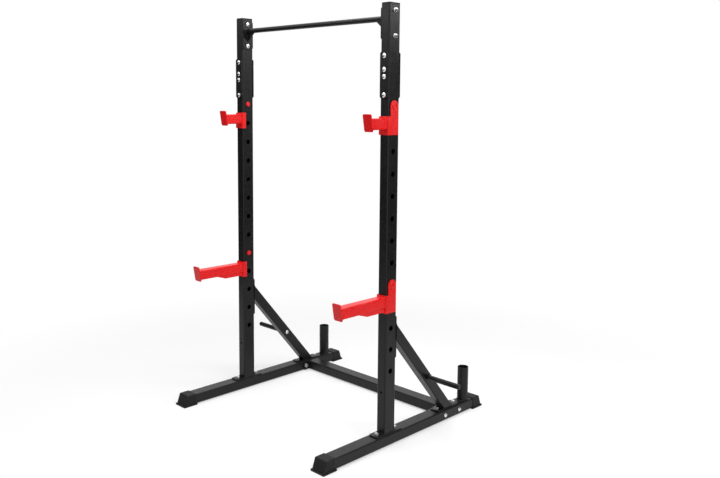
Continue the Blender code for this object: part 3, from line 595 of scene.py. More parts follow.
def red_powder_coat():
    """Semi-gloss red powder coat with a fine orange peel."""
    n = Nodes("red_powder_coat")
    deep, red, light = (0.665, 0.007, 0.008), (0.700, 0.010, 0.011), (0.735, 0.014, 0.016)
    colour = n.ramp(n.noise(230, detail=4, roughness=0.65), (0.32, deep), (0.50, red), (0.68, light))
    roughness = n.spread(n.noise(45, detail=3), 0.24, 0.32)
    n.bumps((n.noise(170, detail=1), 0.16, 0.0003), (n.cells(620), 0.35, 0.00016))
    return n.paint(colour, roughness, specular=0.22)


def zinc_plate():
    """Bright zinc on steel: faintly blue and yellow in patches, with fine rub marks."""
    n = Nodes("zinc_plate")
    blue, zinc, yellow = (0.60, 0.62, 0.66), (0.72, 0.725, 0.73), (0.71, 0.69, 0.64)
    tint = n.ramp(n.noise(160, detail=3, roughness=0.6), (0.30, blue), (0.50, zinc), (0.70, yellow))
    roughness = n.spread(n.noise(420, detail=4, roughness=0.65), 0.18, 0.34)
    n.bumps((n.noise(700, detail=2, stretch=(1.0, 1.0, 0.15)), 0.14, 0.00006))
    return n.paint(tint, roughness, metallic=1.0)


def painted_shade_thread():
    """Zinc painted much darker over the whole thread: painted shade for the shade in its grooves."""
    n = Nodes("painted_shade_thread")
    # painted shade: both tones are far darker than the zinc, standing for the shade in the thread's
    # grooves
    dark, lighter_painted_shade = (0.10, 0.105, 0.115), (0.19, 0.195, 0.20)
    tint = n.ramp(n.noise(300, detail=3, roughness=0.6), (0.3, dark), (0.7, lighter_painted_shade))
    roughness = n.spread(n.noise(500, detail=3), 0.32, 0.50)
    n.bumps((n.noise(900, detail=2), 0.20, 0.00006))
    return n.paint(tint, roughness, metallic=1.0)


def black_plastic():
    """Moulded black plastic with a spark-eroded grain."""
    n = Nodes("black_plastic")
    dark, worn = (0.0090, 0.0090, 0.0092), (0.0130, 0.0130, 0.0133)
    colour = n.ramp(n.noise(24, detail=3), (0.3, dark), (0.7, worn))
    roughness = n.spread(n.noise(90, detail=3), 0.48, 0.60)
    n.bumps((n.cells(520), 0.50, 0.00022), (n.noise(1500, detail=2), 0.20, 0.00008))
    return n.paint(colour, roughness, specular=0.16)


FINISHES = {
    finish.__name__: finish()
    for finish in (black_powder_coat, red_powder_coat, zinc_plate, painted_shade_thread, black_plastic)
}


def added(name, data):
    """A new object in the scene."""
    obj = bpy.data.objects.new(name, data)
    scene.collection.objects.link(obj)
    return obj


def piece(name, mesh, finish, nodes, body="frame", second=None):
    """A piece that rides on a body and stands for solids; faces numbered 1 have the second finish."""
    mesh.materials.append(FINISHES[finish])
    if second:
        mesh.materials.append(FINISHES[second])
    mesh.shade_smooth()
    settings = {"mode": "FACE_AREA", "weight": NORMAL_WEIGHT, "keep_sharp": False}
    mesh = evaluated(mesh, "WEIGHTED_NORMAL", settings)
    mesh.name = name
    obj = added(name, mesh)
    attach(obj, body)
    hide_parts(*nodes)


def to_side(sign, y=0.0, z=0.0):
    """The move to one side of the rack, mirrored on the left."""
    return Matrix.Translation((sign * SPACING / 2, y, z)) @ Matrix.Diagonal((sign, 1, 1, 1))


def both_sides(name, mesh, finish="black_powder_coat"):
    """A piece on each side of the rack, from a mesh drawn for X = 0 and the right side."""
    for side, sign in SIDES:
        piece(f"{name}_{side}_skin", moved(mesh, to_side(sign)), finish, [f"{name}_{side}"])


# --- Frame ---

GUSSET_SUNK = 0.002
GUSSET_EDGE = 0.0005
GUSSET_WELD_SHORT = 0.003
BAR_WELD_ROOM = 0.001
FLANGE_WELD_ROOM = 0.002
CROSS_WELD_INSET = 0.0015
HOLDER_WELD_LIFT = 0.0005
WELD_RING_STEPS = 48


def plate(outline, place, holes, bores=(), edge=PLATE_EDGE):
    """A flat plate with bolt holes; the third axis of its place is its thickness."""
    loops = [outline, *bores, *(circle(BOLT_HOLE, PLATE_HOLE_SIDES, at) for at in holes)]
    return softened(extruded(loops, PLATE, place), edge)


def base_rails():
    length = BASE_LENGTH - 2 * FOOT_INSET - GAP
    cuts = [through("Z", (0, y, RAIL_TOP), WALL * 2) for y in UPRIGHT_BOLTS + BRACE_BOLTS]
    cuts += [through("X", (0, y, RAIL_MIDDLE), RAIL_WIDTH) for y in CROSS_BOLTS]
    mesh = tube(RAIL_HEIGHT, RAIL_WIDTH, length, axes("Y", (0, -length / 2, RAIL_MIDDLE)), cuts=cuts)
    both_sides("base_rail", mesh)


def lower_uprights():
    bottom = PLATE_TOP - PLATE / 2
    length = JOINT_HEIGHT - GAP - bottom
    cuts = [through("X", (0, UPRIGHT_Y, z), UPRIGHT_WIDTH, PIN_HOLE) for z in PIN_HEIGHTS]
    cuts += [through("Y", (0, UPRIGHT_Y, z), UPRIGHT_DEPTH) for z in SPLICE_BOLTS if z < JOINT_HEIGHT]
    cuts += [through("Y", (0, UPRIGHT_REAR, z), UPRIGHT_DEPTH / 4) for z in BRACE_FLANGE_BOLTS]
    cuts.append(through("Y", (0, UPRIGHT_FRONT, PILOT_HEIGHT), UPRIGHT_DEPTH / 4))
    post = tube(UPRIGHT_WIDTH, UPRIGHT_DEPTH, length, axes("Z", (0, UPRIGHT_Y, bottom)), cuts=cuts)
    holes = [(0, y - UPRIGHT_Y) for y in UPRIGHT_BOLTS]
    foot = plate(chamfered_rectangle(*UPRIGHT_FOOT), axes("Z", (0, UPRIGHT_Y, PLATE_BOTTOM)), holes)
    outline = rounded_rectangle(UPRIGHT_WIDTH, UPRIGHT_DEPTH, CORNER)
    weld = bead(ring_path(outline, axes("Z", (0, UPRIGHT_Y, PLATE_TOP))))
    both_sides("lower_upright", gathered([post, foot, weld]))


def upper_uprights():
    length = TUBE_TOP - JOINT_HEIGHT
    cuts = [through("Y", (0, UPRIGHT_Y, z), UPRIGHT_DEPTH) for z in SPLICE_BOLTS if z > JOINT_HEIGHT]
    cuts += [through("X", (0, UPRIGHT_Y, z), UPRIGHT_WIDTH) for z in BAR_BOLTS]
    mesh = tube(UPRIGHT_WIDTH, UPRIGHT_DEPTH, length, axes("Z", (0, UPRIGHT_Y, JOINT_HEIGHT)), cuts=cuts)
    both_sides("upper_upright", mesh)


def top_caps():
    """Plastic plugs with a softly crowned rim."""
    bottom = TUBE_TOP + GAP
    outline = rounded_rectangle(UPRIGHT_WIDTH, UPRIGHT_DEPTH, CORNER, CAP_STEPS)
    rim = extruded([outline], CAP_RIM, axes("Z", (0, UPRIGHT_Y, bottom)))
    rim = softened(rim, CAP_CROWN, CAP_CROWN_STEPS)
    width, depth = UPRIGHT_WIDTH - CAP_INSET, UPRIGHT_DEPTH - CAP_INSET
    place = axes("Z", (0, UPRIGHT_Y, bottom - CAP_SKIRT_DROP))
    skirt = tube(width, depth, CAP_SKIRT, place, CAP_WALL, CAP_CORNER)
    both_sides("top_cap", gathered([rim, skirt]), "black_plastic")


def splice_plates():
    outline = swapped(chamfered_rectangle(*SPLICE_PLATE))
    centre = JOINT_HEIGHT + SPLICE_ABOVE_JOINT - SPLICE_PLATE[1] / 2
    holes = [(z - centre, 0) for z in SPLICE_BOLTS]
    for where, y in (("front", UPRIGHT_FRONT - GAP - PLATE), ("rear", UPRIGHT_REAR + GAP)):
        mesh = plate(outline, axes("Y", (0, y, centre)), holes)
        both_sides(f"splice_plate_{where}", mesh)


def bar_end(sign, end):
    """Flange, gusset and welds at the end of the pull-up bar that lies at X = sign times end."""
    face = end - PLATE
    place = axes("X", (face if sign > 0 else -end, UPRIGHT_Y, BAR_FLANGE_Z))
    bore = circle(BAR_BORE, ROUND_SIDES, (0, BAR_Z - BAR_FLANGE_Z))
    holes = [(0, z - BAR_FLANGE_Z) for z in BAR_BOLTS]
    meshes = [plate(chamfered_rectangle(*BAR_FLANGE), place, holes, [bore])]
    under = BAR_Z - BAR_DIAMETER / 2
    tip, low = face - GUSSET_REACH, under - GUSSET_DROP
    triangle = [
        (under + GUSSET_SUNK, sign * (face + GUSSET_SUNK)),
        (under + GUSSET_SUNK, sign * tip),
        (under, sign * tip),
        (low, sign * face),
        (low, sign * (face + GUSSET_SUNK)),
    ]
    gusset = extruded([triangle], GUSSET_THICKNESS, axes("Y", (0, UPRIGHT_Y - GUSSET_THICKNESS / 2, 0)))
    meshes.append(softened(gusset, GUSSET_EDGE))
    outline = circle(BAR_DIAMETER, WELD_RING_STEPS)
    meshes.append(bead(ring_path(outline, axes("X", (sign * face, UPRIGHT_Y, BAR_Z))), THIN_WELD))
    for y in (UPRIGHT_Y - GUSSET_THICKNESS / 2, UPRIGHT_Y + GUSSET_THICKNESS / 2):
        down = [(sign * face, y, low + GUSSET_WELD_SHORT), (sign * face, y, under - BAR_WELD_ROOM)]
        along = [(sign * (face - FLANGE_WELD_ROOM), y, under),
                 (sign * (tip + GUSSET_WELD_SHORT), y, under)]
        meshes += [bead(path, GUSSET_WELD, closed=False) for path in (down, along)]
    return meshes


def pull_up_bar():
    end = SPACING / 2 - UPRIGHT_WIDTH / 2 - GAP
    loops = [circle(BAR_DIAMETER, ROUND_SIDES), circle(BAR_BORE, ROUND_SIDES)]
    bar = extruded(loops, 2 * (end - GAP), axes("X", (GAP - end, UPRIGHT_Y, BAR_Z)))
    mesh = gathered([bar, *bar_end(-1, end), *bar_end(1, end)])
    piece("pull_up_bar_skin", mesh, "black_powder_coat", ["pull_up_bar"])


def brace_tube(loops, place):
    """Square tube cut off level at the rail and upright at the post."""
    bm = bmesh.new()
    ends = []
    for loop in loops:
        low = [bm.verts.new(p) for p in slice_path(loop, place, "Z", PLATE_TOP - PLATE / 2)]
        high = [bm.verts.new(p) for p in slice_path(loop, place, "Y", BRACE_START.y - PLATE / 2)]
        skinned(bm, (low, high))
        ends.append((low, high))
    (low, high), (low_in, high_in) = ends
    for i in range(len(low)):
        j = (i + 1) % len(low)
        bm.faces.new((low[i], low_in[i], low_in[j], low[j]))
        bm.faces.new((high[i], high[j], high_in[j], high_in[i]))
    return softened(cut(mesh_from(bm), [through("X", (0, PEG_Y, PEG_Z), BRACE_SIZE)]), TUBE_EDGE)


def braces():
    place = axes("Y", (0, UPRIGHT_REAR + GAP, BRACE_FLANGE_CENTRE))
    holes = [(z - BRACE_FLANGE_CENTRE, 0) for z in BRACE_FLANGE_BOLTS]
    flange = plate(swapped(chamfered_rectangle(*BRACE_FLANGE)), place, holes)
    centre = BRACE_FOOT_FRONT + BRACE_FOOT[1] / 2
    holes = [(0, y - centre) for y in BRACE_BOLTS]
    foot = plate(chamfered_rectangle(*BRACE_FOOT), axes("Z", (0, centre, PLATE_BOTTOM)), holes)
    across = BRACE_SLOPE.cross(AXES["X"])
    turn = Matrix((AXES["X"], across, -BRACE_SLOPE)).transposed().to_4x4()
    place = Matrix.Translation(BRACE_END) @ turn
    loops = tube_loops(BRACE_SIZE, BRACE_SIZE)
    welds = [
        bead(slice_path(loops[0], place, "Z", PLATE_TOP), seed=3.0),
        bead(slice_path(loops[0], place, "Y", BRACE_START.y), seed=7.0),
    ]
    both_sides("brace", gathered([flange, foot, brace_tube(loops, place), *welds]))


def crossmember():
    end = SPACING / 2 - RAIL_WIDTH / 2 - GAP
    left_end = axes("X", (GAP - end, CROSS_Y, RAIL_MIDDLE))
    meshes = [tube(CROSS_WIDTH, RAIL_HEIGHT, 2 * (end - GAP), left_end)]
    bore = tube_loops(CROSS_WIDTH, RAIL_HEIGHT)[1]
    holes = [(y - CROSS_Y, 0) for y in CROSS_BOLTS]
    outline = rounded_rectangle(CROSS_WIDTH, RAIL_HEIGHT - 2 * CROSS_WELD_INSET, CORNER)
    for sign in (-1, 1):
        face = end - PLATE
        flange = axes("X", (face if sign > 0 else -end, CROSS_Y, RAIL_MIDDLE))
        meshes.append(plate(chamfered_rectangle(*CROSS_FLANGE), flange, holes, [bore], EDGE))
        path = ring_path(outline, axes("X", (sign * face, CROSS_Y, RAIL_MIDDLE)))
        meshes.append(bead(path, THIN_WELD, seed=sign))
    piece("crossmember_skin", gathered(meshes), "black_powder_coat", ["crossmember"])


def bar_holders():
    """Open tubes welded upright on the rails."""
    bottom = RAIL_TOP + GAP
    outline = circle(HOLDER_DIAMETER, ROUND_SIDES)
    loops = [outline, circle(HOLDER_DIAMETER - 2 * HOLDER_WALL, ROUND_SIDES)]
    body = softened(extruded(loops, HOLDER_HEIGHT, axes("Z", (0, HOLDER_Y, bottom))), TUBE_EDGE)
    path = ring_path(outline, axes("Z", (0, HOLDER_Y, bottom + HOLDER_WELD_LIFT)))
    both_sides("bar_holder", gathered([body, bead(path, seed=5.0)]))


def storage_pegs():
    """Round pegs with a chamfered tip, bored at the root for the bolt that holds them."""
    radius, mouth = PEG_DIAMETER / 2, BOLT_HOLE / 2
    shoulder = PEG_LENGTH - PEG_CHAMFER
    profile = [
        (0, PEG_LENGTH),
        (radius - PEG_CHAMFER - 4 * TENTH, PEG_LENGTH),
        (radius - PEG_CHAMFER, PEG_LENGTH - TENTH),
        (radius - 2 * TENTH, shoulder),
        (radius, shoulder - 5 * TENTH),
        (radius, EDGE),
        (radius - EDGE, 0),
        (mouth, 0),
        (mouth, PEG_THREAD_DEPTH),
        (0, PEG_THREAD_DEPTH),
    ]
    root = Matrix.Translation((BRACE_SIZE / 2 + GAP, PEG_Y, PEG_Z))
    both_sides("storage_peg", moved(turned(profile), root @ ALONG_X))


def boot():
    """A moulded boot for one end of a rail: sloping nose, soft corners and a flange round the bottom."""
    bm = bmesh.new()
    bmesh.ops.create_cube(bm, size=1.0)
    for vert in bm.verts:
        right, rear, top = (c > 0 for c in vert.co)
        width = RAIL_WIDTH + 2 * FOOT_CHEEK if top else FOOT_WIDTH - 2 * FOOT_LEDGE
        nose = FOOT_LEDGE + FOOT_SLOPE if top else FOOT_LEDGE
        vert.co = (
            width / 2 if right else -width / 2,
            FOOT_LENGTH - FOOT_LEDGE if rear else nose,
            FOOT_ROOF if top else FOOT_FLANGE / 2,
        )
    edges = [e for e in bm.edges if not all(v.co.z < FOOT_FLANGE for v in e.verts)]
    rounding = {"offset": FOOT_ROUNDING, "segments": FOOT_STEPS, "profile": FOOT_PROFILE}
    bmesh.ops.bevel(bm, geom=edges, affect="EDGES", **rounding)
    body = mesh_from(bm)
    outline = rounded_rectangle(FOOT_WIDTH, FOOT_LENGTH, FOOT_LEDGE, FOOT_STEPS, (0, FOOT_LENGTH / 2))
    flange = extruded([outline], FOOT_FLANGE, axes("Z", (0, 0, 0)))
    flange = softened(flange, FOOT_FLANGE_EDGE, FOOT_FLANGE_EDGE_STEPS)
    pocket = rounded_rectangle(RAIL_HEIGHT + 2 * GAP, RAIL_WIDTH + FOOT_ROOM_WIDE, CORNER)
    cavity = extruded([pocket], FOOT_LENGTH, axes("Y", (0, FOOT_INSET - FOOT_ROOM_LONG, RAIL_MIDDLE)))
    body = softened(cut(body, [cavity]), FOOT_EDGE, EDGE_STEPS, FOOT_SHARP_ANGLE)
    return gathered([body, cut(flange, [cavity])])


def feet():
    mesh = boot()
    for side, sign in SIDES:
        for where, end, turn in (("front", -1, 0.0), ("rear", 1, math.pi)):
            place = Matrix.Translation((sign * SPACING / 2, end * BASE_LENGTH / 2, 0))
            shape = moved(mesh, place @ Matrix.Rotation(turn, 4, "Z"))
            node = f"foot_{where}_{side}"
            piece(f"{node}_skin", shape, "black_plastic", [node])


# --- Fasteners ---

NUT_FLATS = 0.017
NUT_HEIGHT = 0.008
HEAD_HEIGHT = 0.0065
HEXAGON_STEPS = 48
HEXAGON_FACE = 0.97
HEXAGON_CHAMFER = math.tan(math.radians(28))
WASHER = 0.021
WASHER_THICKNESS = 0.002
WASHER_EDGE = 0.0004
DOME = 0.022
DOME_HEIGHT = 0.0055
DOME_RIM = 0.0007
DOME_FALL = 0.93
DOME_STEPS = 12
THREAD_PITCH = 0.0015
THREAD_DEPTH = 0.0009
THREAD_FLAT = 0.1
THREAD_TIP = 0.0006
THREAD_SIDES = 40
TIP_PAST_NUT = 0.005
TIP_PAST_WELD_NUT = 0.001
TIP_IN_PEG = 0.028
SHANK_IN_HEAD = 0.001

# How far each bolt of a kind is turned on from the one before, in radians
SPLICE_SPIN = 1.7
BASE_SPIN = 1.3
CROSS_SPIN = 1.1
BRACE_SPIN = 0.9
BAR_SPIN = 0.1
BAR_SPIN_START = 0.45


def hexagon(bottom, height, bottom_chamfer=True):
    """A hexagon nut or head whose corners are turned down to a chamfer."""
    flat, sixth = NUT_FLATS / 2, math.pi / 3
    face = flat * HEXAGON_FACE
    outline = []
    for i in range(HEXAGON_STEPS):
        angle = 2 * math.pi * i / HEXAGON_STEPS
        off = (angle + sixth / 2) % sixth - sixth / 2
        outline.append((angle + sixth / 2, flat / math.cos(off)))
    inner = [(angle, face) for angle, _ in outline]
    bm = bmesh.new()

    def ring(polar, level, fall=0.0):
        points = [(r * math.cos(a), r * math.sin(a), level - fall * (r - face)) for a, r in polar]
        return [bm.verts.new(point) for point in points]

    top = bottom + height
    skinned(bm, [
        [bm.verts.new((0, 0, top))],
        ring(inner, top),
        ring(outline, top, HEXAGON_CHAMFER),
        ring(outline, bottom, -HEXAGON_CHAMFER if bottom_chamfer else 0.0),
        ring(inner, bottom),
        [bm.verts.new((0, 0, bottom))],
    ])
    return mesh_from(bm)


def washer(face):
    """A washer that lies below height face."""
    r, hole, edge = WASHER / 2, BOLT_HOLE / 2, WASHER_EDGE
    low = face - WASHER_THICKNESS
    outside = [(r - edge, face), (r, face - edge), (r, low + edge), (r - edge, low)]
    return turned([(hole, face), *outside, (hole, low), (hole, face)])


def thread(start, tip):
    """Threaded end of a bolt, from height start down to its tip."""
    crest, root = BOLT / 2, BOLT / 2 - THREAD_DEPTH
    profile = [(0, start), (crest, start)]
    z = start
    while z - tip > THREAD_PITCH:
        for radius, share in ((crest, THREAD_FLAT), (root, 0.5), (crest, 1 - THREAD_FLAT)):
            profile.append((radius, z - THREAD_PITCH * share))
        z -= THREAD_PITCH
    profile += [(root, z), (root - THREAD_TIP, tip), (0, tip)]
    mesh = turned(profile, THREAD_SIDES)
    # the thread's faces take the second finish, the thread's painted shade
    for polygon in mesh.polygons:
        polygon.material_index = 1
    return mesh


def domed_shank(end):
    """A domed head just above height 0, with a plain shank down to end."""
    r, h = DOME / 2, DOME_HEIGHT
    ball = (r * r + h * h) / (2 * h)
    profile = [(0, GAP + h)]
    for i in range(1, DOME_STEPS + 1):
        radius = (r - DOME_RIM) * i / DOME_STEPS
        profile.append((radius, GAP + h - (ball - math.sqrt(ball * ball - radius * radius)) * DOME_FALL))
    rim = profile[-1][1]
    profile += [(r - TENTH, rim - 4 * TENTH), (r, GAP + 2 * TENTH), (r - 2 * TENTH, GAP)]
    return turned([*profile, (BOLT / 2, GAP), (BOLT / 2, end), (0, end)])


def through_bolt(grip):
    """Domed bolt along Z with washer and nut below; what it holds lies between 0 and -grip."""
    face = -grip - GAP
    nut_top = face - WASHER_THICKNESS
    middle, bottom = nut_top - NUT_HEIGHT / 2, nut_top - NUT_HEIGHT
    end = thread(middle, bottom - TIP_PAST_NUT)
    return gathered([domed_shank(middle), hexagon(bottom, NUT_HEIGHT), washer(face), end])


def hex_bolt(grip):
    """Hexagon bolt and washer on top, and the weld nut that it runs into under the wall it holds."""
    seat = GAP + WASHER_THICKNESS
    nut_top = -grip - GAP
    bottom = nut_top - NUT_HEIGHT
    head = hexagon(seat, HEAD_HEIGHT, bottom_chamfer=False)
    inside = seat + SHANK_IN_HEAD
    shank = turned([(0, inside), (BOLT / 2, inside), (BOLT / 2, nut_top), (0, nut_top)], THREAD_SIDES)
    end = thread(nut_top, bottom - TIP_PAST_WELD_NUT)
    return gathered([head, shank, washer(seat), hexagon(bottom, NUT_HEIGHT), end])


def peg_bolt():
    """Domed bolt through the brace, whose thread runs into the storage peg."""
    return gathered([domed_shank(-BRACE_SIZE), thread(-BRACE_SIZE, -(BRACE_SIZE + GAP + TIP_IN_PEG))])


def put_bolt(node, mesh, place, axis, angle, spin=0.0):
    """A bolt drawn along Z, spun about itself, turned about an axis and put in its place."""
    turn = Matrix.Rotation(angle, 4, axis) @ Matrix.Rotation(spin, 4, "Z")
    shape = moved(mesh, Matrix.Translation(place) @ turn)
    # the thread takes the second finish, painted darker than the zinc as painted shade
    piece(f"{node}_skin", shape, "zinc_plate", [node], second="painted_shade_thread")


def fasteners():
    """All bolts, each spun by another angle, as hands leave them."""
    quarter = math.pi / 2
    splice_bolt = through_bolt(UPRIGHT_DEPTH + 2 * (PLATE + GAP))
    bar_bolt = through_bolt(UPRIGHT_WIDTH + PLATE + GAP)
    cross_bolt = through_bolt(RAIL_WIDTH + PLATE + GAP)
    short_bolt = hex_bolt(PLATE + GAP + WALL)
    peg = peg_bolt()
    for side, sign in SIDES:
        x = sign * SPACING / 2
        for i, z in enumerate(SPLICE_BOLTS, 1):
            place = (x, UPRIGHT_FRONT - GAP - PLATE, z)
            put_bolt(f"splice_bolt_{side}_{i}", splice_bolt, place, "X", quarter, i * SPLICE_SPIN + sign)
        for i, z in enumerate(BAR_BOLTS, 1):
            place = (x - sign * (UPRIGHT_WIDTH / 2 + GAP + PLATE), UPRIGHT_Y, z)
            spin = BAR_SPIN_START + i * BAR_SPIN
            put_bolt(f"pull_up_bolt_{side}_{i}", bar_bolt, place, "Y", -sign * quarter, spin)
        for where, ys in (("upright", UPRIGHT_BOLTS), ("brace", BRACE_BOLTS)):
            for i, y in enumerate(ys, 1):
                name = f"{where}_base_bolt_{side}_{i}"
                put_bolt(name, short_bolt, (x, y, PLATE_TOP), "X", 0.0, i * BASE_SPIN + sign)
        for i, z in enumerate(BRACE_FLANGE_BOLTS, 1):
            place = (x, UPRIGHT_REAR + GAP + PLATE, z)
            put_bolt(f"brace_flange_bolt_{side}_{i}", short_bolt, place, "X", -quarter, i * BRACE_SPIN)
        for i, y in enumerate(CROSS_BOLTS, 1):
            name = f"crossmember_bolt_{side}_{i}"
            place = (x + sign * RAIL_WIDTH / 2, y, RAIL_MIDDLE)
            put_bolt(name, cross_bolt, place, "Y", sign * quarter, i * CROSS_SPIN)
        place = (x - sign * BRACE_SIZE / 2, PEG_Y, PEG_Z)
        put_bolt(f"peg_bolt_{side}", peg, place, "Y", -sign * quarter)


# --- J-cups and spotter arms ---

ARM_ROOT = BRACKET_FACE - PLATE
ARM_OUTLINE = rounded_rectangle(ARM_HEIGHT, ARM_WIDTH, CORNER)
ARM_BORE = rounded_rectangle(ARM_HEIGHT - 2 * ARM_WALL, ARM_WIDTH - 2 * ARM_WALL, ARM_INNER_CORNER)
LIP_INSET = PLATE / 2 / math.cos(LIP_TILT)
LIP_EDGE_STEPS = 3
EAR_STEPS = 28
BEND_STEPS = 7
INNER_BEND_STEPS = 3


def bracket_outline():
    """Bent plate seen from above, with the pin axis at Y = 0 and the outer cheek at +X."""
    bend, inner = BRACKET_BEND, BRACKET_INNER_BEND
    points = [(OUTSIDE, EAR_RADIUS), (INSIDE, EAR_RADIUS)]
    for sign, start in ((1, 0), (-1, 270)):
        corner = sign * (INSIDE - inner)
        for x, y in arc((0, 0), inner, start, start - 90, INNER_BEND_STEPS):
            points.append((corner + x, BRACKET_FACE + inner + y))
    points += [(-INSIDE, BRACKET_REAR), (-OUTSIDE, BRACKET_REAR)]
    for sign, start in ((-1, 180), (1, 270)):
        centre = (sign * (OUTSIDE - bend), ARM_ROOT + bend)
        points += arc(centre, bend, start, start + 90, BEND_STEPS)
    return points


def bracket():
    """Bent bracket with the ear that carries the pin, open where the arm's bore meets it."""
    low = BRACKET_TOP - BRACKET_HEIGHT
    middle = low + BRACKET_HEIGHT / 2
    bent = extruded([bracket_outline()], BRACKET_HEIGHT, axes("Z", (0, 0, low)))
    outline = [(EAR_RADIUS, middle), *arc((0, 0), EAR_RADIUS, 0, 180, EAR_STEPS), (-EAR_RADIUS, middle)]
    ear = extruded([outline], PLATE, axes("X", (INSIDE, 0, 0)))
    mouth = extruded([ARM_BORE], 4 * PLATE, axes("Y", (0, ARM_ROOT - 2 * PLATE, ARM_MIDDLE)))
    return softened(cut(cut(bent, [ear], "UNION"), [mouth]), BRACKET_EDGE)


def lip_front(reach, z):
    """How far forward the lip's front is at a height."""
    return -reach - (z - LIP_CENTRE) * math.tan(LIP_TILT)


def arm(reach):
    """Square tube from the bracket to the lip, cut off along the lip's slope."""
    length = reach + ARM_ROOT
    mesh = extruded([ARM_OUTLINE, ARM_BORE], length, axes("Y", (0, ARM_ROOT - length, ARM_MIDDLE)))
    for vert in mesh.vertices:
        if vert.co.y < ARM_ROOT - length / 2:
            vert.co.y = lip_front(reach, vert.co.z) + LIP_INSET
    return mesh


def lip(reach):
    """Tilted plate that ends the arm."""
    tilt = Matrix.Rotation(LIP_TILT, 4, "X") @ axes("Y", (0, 0, 0))
    outline = swapped(chamfered_rectangle(LIP_WIDTH, LIP_LENGTH, LIP_CHAMFER))
    mesh = extruded([outline], PLATE, Matrix.Translation((0, -reach, LIP_CENTRE)) @ tilt)
    return softened(mesh, BRACKET_EDGE, LIP_EDGE_STEPS)


def arm_welds(reach):
    """Beads round the arm, at the bracket and at the lip."""
    around = [(x, z + ARM_MIDDLE) for z, x in ARM_OUTLINE]
    at_bracket = [(x, ARM_ROOT, z) for x, z in around]
    at_lip = [(x, lip_front(reach, z) + 2 * LIP_INSET, z) for x, z in around]
    return [bead(at_bracket, ARM_WELD, seed=reach), bead(at_lip, THIN_WELD, seed=reach + 9)]


def pin(reach):
    """The pin with its chamfered end, and the bead round its root in the ear."""
    r, root = PIN_RADIUS, OUTSIDE - PIN_SUNK
    profile = [
        (0, root),
        (r - 4 * TENTH, root),
        (r, root - 7 * TENTH),
        (r, PIN_END + PIN_CHAMFER),
        (r - 3 * TENTH, PIN_END + PIN_CHAMFER - 2 * TENTH),
        (r - PIN_CHAMFER, PIN_END + TENTH),
        (r - PIN_CHAMFER - 3 * TENTH, PIN_END),
        (0, PIN_END),
    ]
    ring_radius = r + PIN_WELD_OUT
    turns = [2 * math.pi * i / WELD_RING_STEPS for i in range(WELD_RING_STEPS)]
    ring = [(OUTSIDE - 2 * TENTH, ring_radius * math.cos(t), ring_radius * math.sin(t)) for t in turns]
    body = moved(turned(profile), ALONG_X)
    return [body, bead(ring, PIN_WELD, seed=reach + 4)]


def rib():
    """Folded rib under a spotter arm, with a weld along each side."""
    top = ARM_MIDDLE - ARM_HEIGHT / 2
    deep, sunk = top - RIB_DEPTH, top + RIB_SUNK
    flat_end = ARM_ROOT + PLATE / 2 - RIB_FLAT
    tip = flat_end - RIB_TAPER * RIB_DEPTH / (RIB_DEPTH + ARM_WALL / 2)
    outline = [(ARM_ROOT, sunk), (ARM_ROOT, deep), (flat_end, deep), (tip, top), (tip, sunk)]
    folded = extruded([outline], RIB_WIDTH, axes("X", (-RIB_WIDTH / 2, 0, 0)))
    meshes = [softened(folded, RIB_EDGE, RIB_EDGE_STEPS)]
    for edge in (-RIB_WIDTH / 2, RIB_WIDTH / 2):
        x = edge * RIB_WELD_INSIDE
        path = [(x, ARM_ROOT - RIB_WELD_SHORT, top), (x, tip + RIB_WELD_SHORT, top)]
        meshes.append(bead(path, RIB_WELD, closed=False, seed=edge))
    return meshes


def holders():
    """J-cups and spotter arms: drawn on a pin axis that is X, then hung in their holes."""
    kinds = (("j_cup", J_CUP_HOLE, J_CUP_REACH), ("spotter_arm", SPOTTER_HOLE, SPOTTER_REACH))
    for kind, hole, reach in kinds:
        meshes = [bracket(), arm(reach), lip(reach), *arm_welds(reach), *pin(reach)]
        if kind == "spotter_arm":
            meshes += rib()
        mesh = gathered(meshes)
        for side, sign in SIDES:
            node = f"{kind}_{side}"
            place = to_side(sign, UPRIGHT_Y, PIN_HEIGHTS[hole])
            piece(f"{node}_skin", moved(mesh, place), "red_powder_coat", [node], f"{node}_body")


# --- Floor, light and camera ---

FLOOR_RADIUS = 14.0
FLOOR_SIDES = 96
FLOOR_LEVEL = -0.0005
FLOOR_SEEN = 0.90
FLOOR_BOUNCE = 0.80
FLOOR_GLOW = 0.45
FLOOR_FADE = (0.9, 2.6)
WORLD_LIGHT = 0.26
SCREEN_RADIUS = 2.9
SCREEN_HEIGHT = 2.25
SCREEN_SPREAD = 108
SCREEN_STEPS = 16
SCREEN_COLOUR = (0.01, 0.01, 0.01, 1)
SCREENS = (("screen_back_right", 48), ("screen_front_left", 228))
WHITE = (1, 1, 1, 1)
LAMPS = (
    ("overhead", (0.3, -0.3, 3.6), (0, 0, 0.6), (3.0, 3.0), 130),
    ("right", (3.6, -0.9, 2.0), (0, 0, 0.9), (1.8, 2.6), 36),
    ("back_right", (3.2, 2.7, 2.4), (0, 0, 1.2), (1.3, 1.3), 44),
    ("front_left", (-2.4, -3.4, 2.4), (0, 0, 1.1), (1.3, 1.3), 20),
)
CAMERA_PLACE = (2.8685, -2.7251, 1.5657)
CAMERA_TURN = math.radians(44.295)
CAMERA_TILT = math.radians(-6.184)
CAMERA_ROLL = math.radians(0.508)
CAMERA_LENS = 39.395
CAMERA_SENSOR = 36
CAMERA_SHIFT = -0.0714
CAMERA_CLIP = (0.05, 60)


def seen_directly(tree):
    """1 for camera, glossy and transmission rays, else 0."""
    path = tree.nodes.new("ShaderNodeLightPath")
    total = path.outputs["Is Camera Ray"]
    for name in ("Is Glossy Ray", "Is Transmission Ray"):
        add = tree.nodes.new("ShaderNodeMath")
        add.operation = "MAXIMUM"
        tree.links.new(total, add.inputs[0])
        tree.links.new(path.outputs[name], add.inputs[1])
        total = add.outputs[0]
    return total


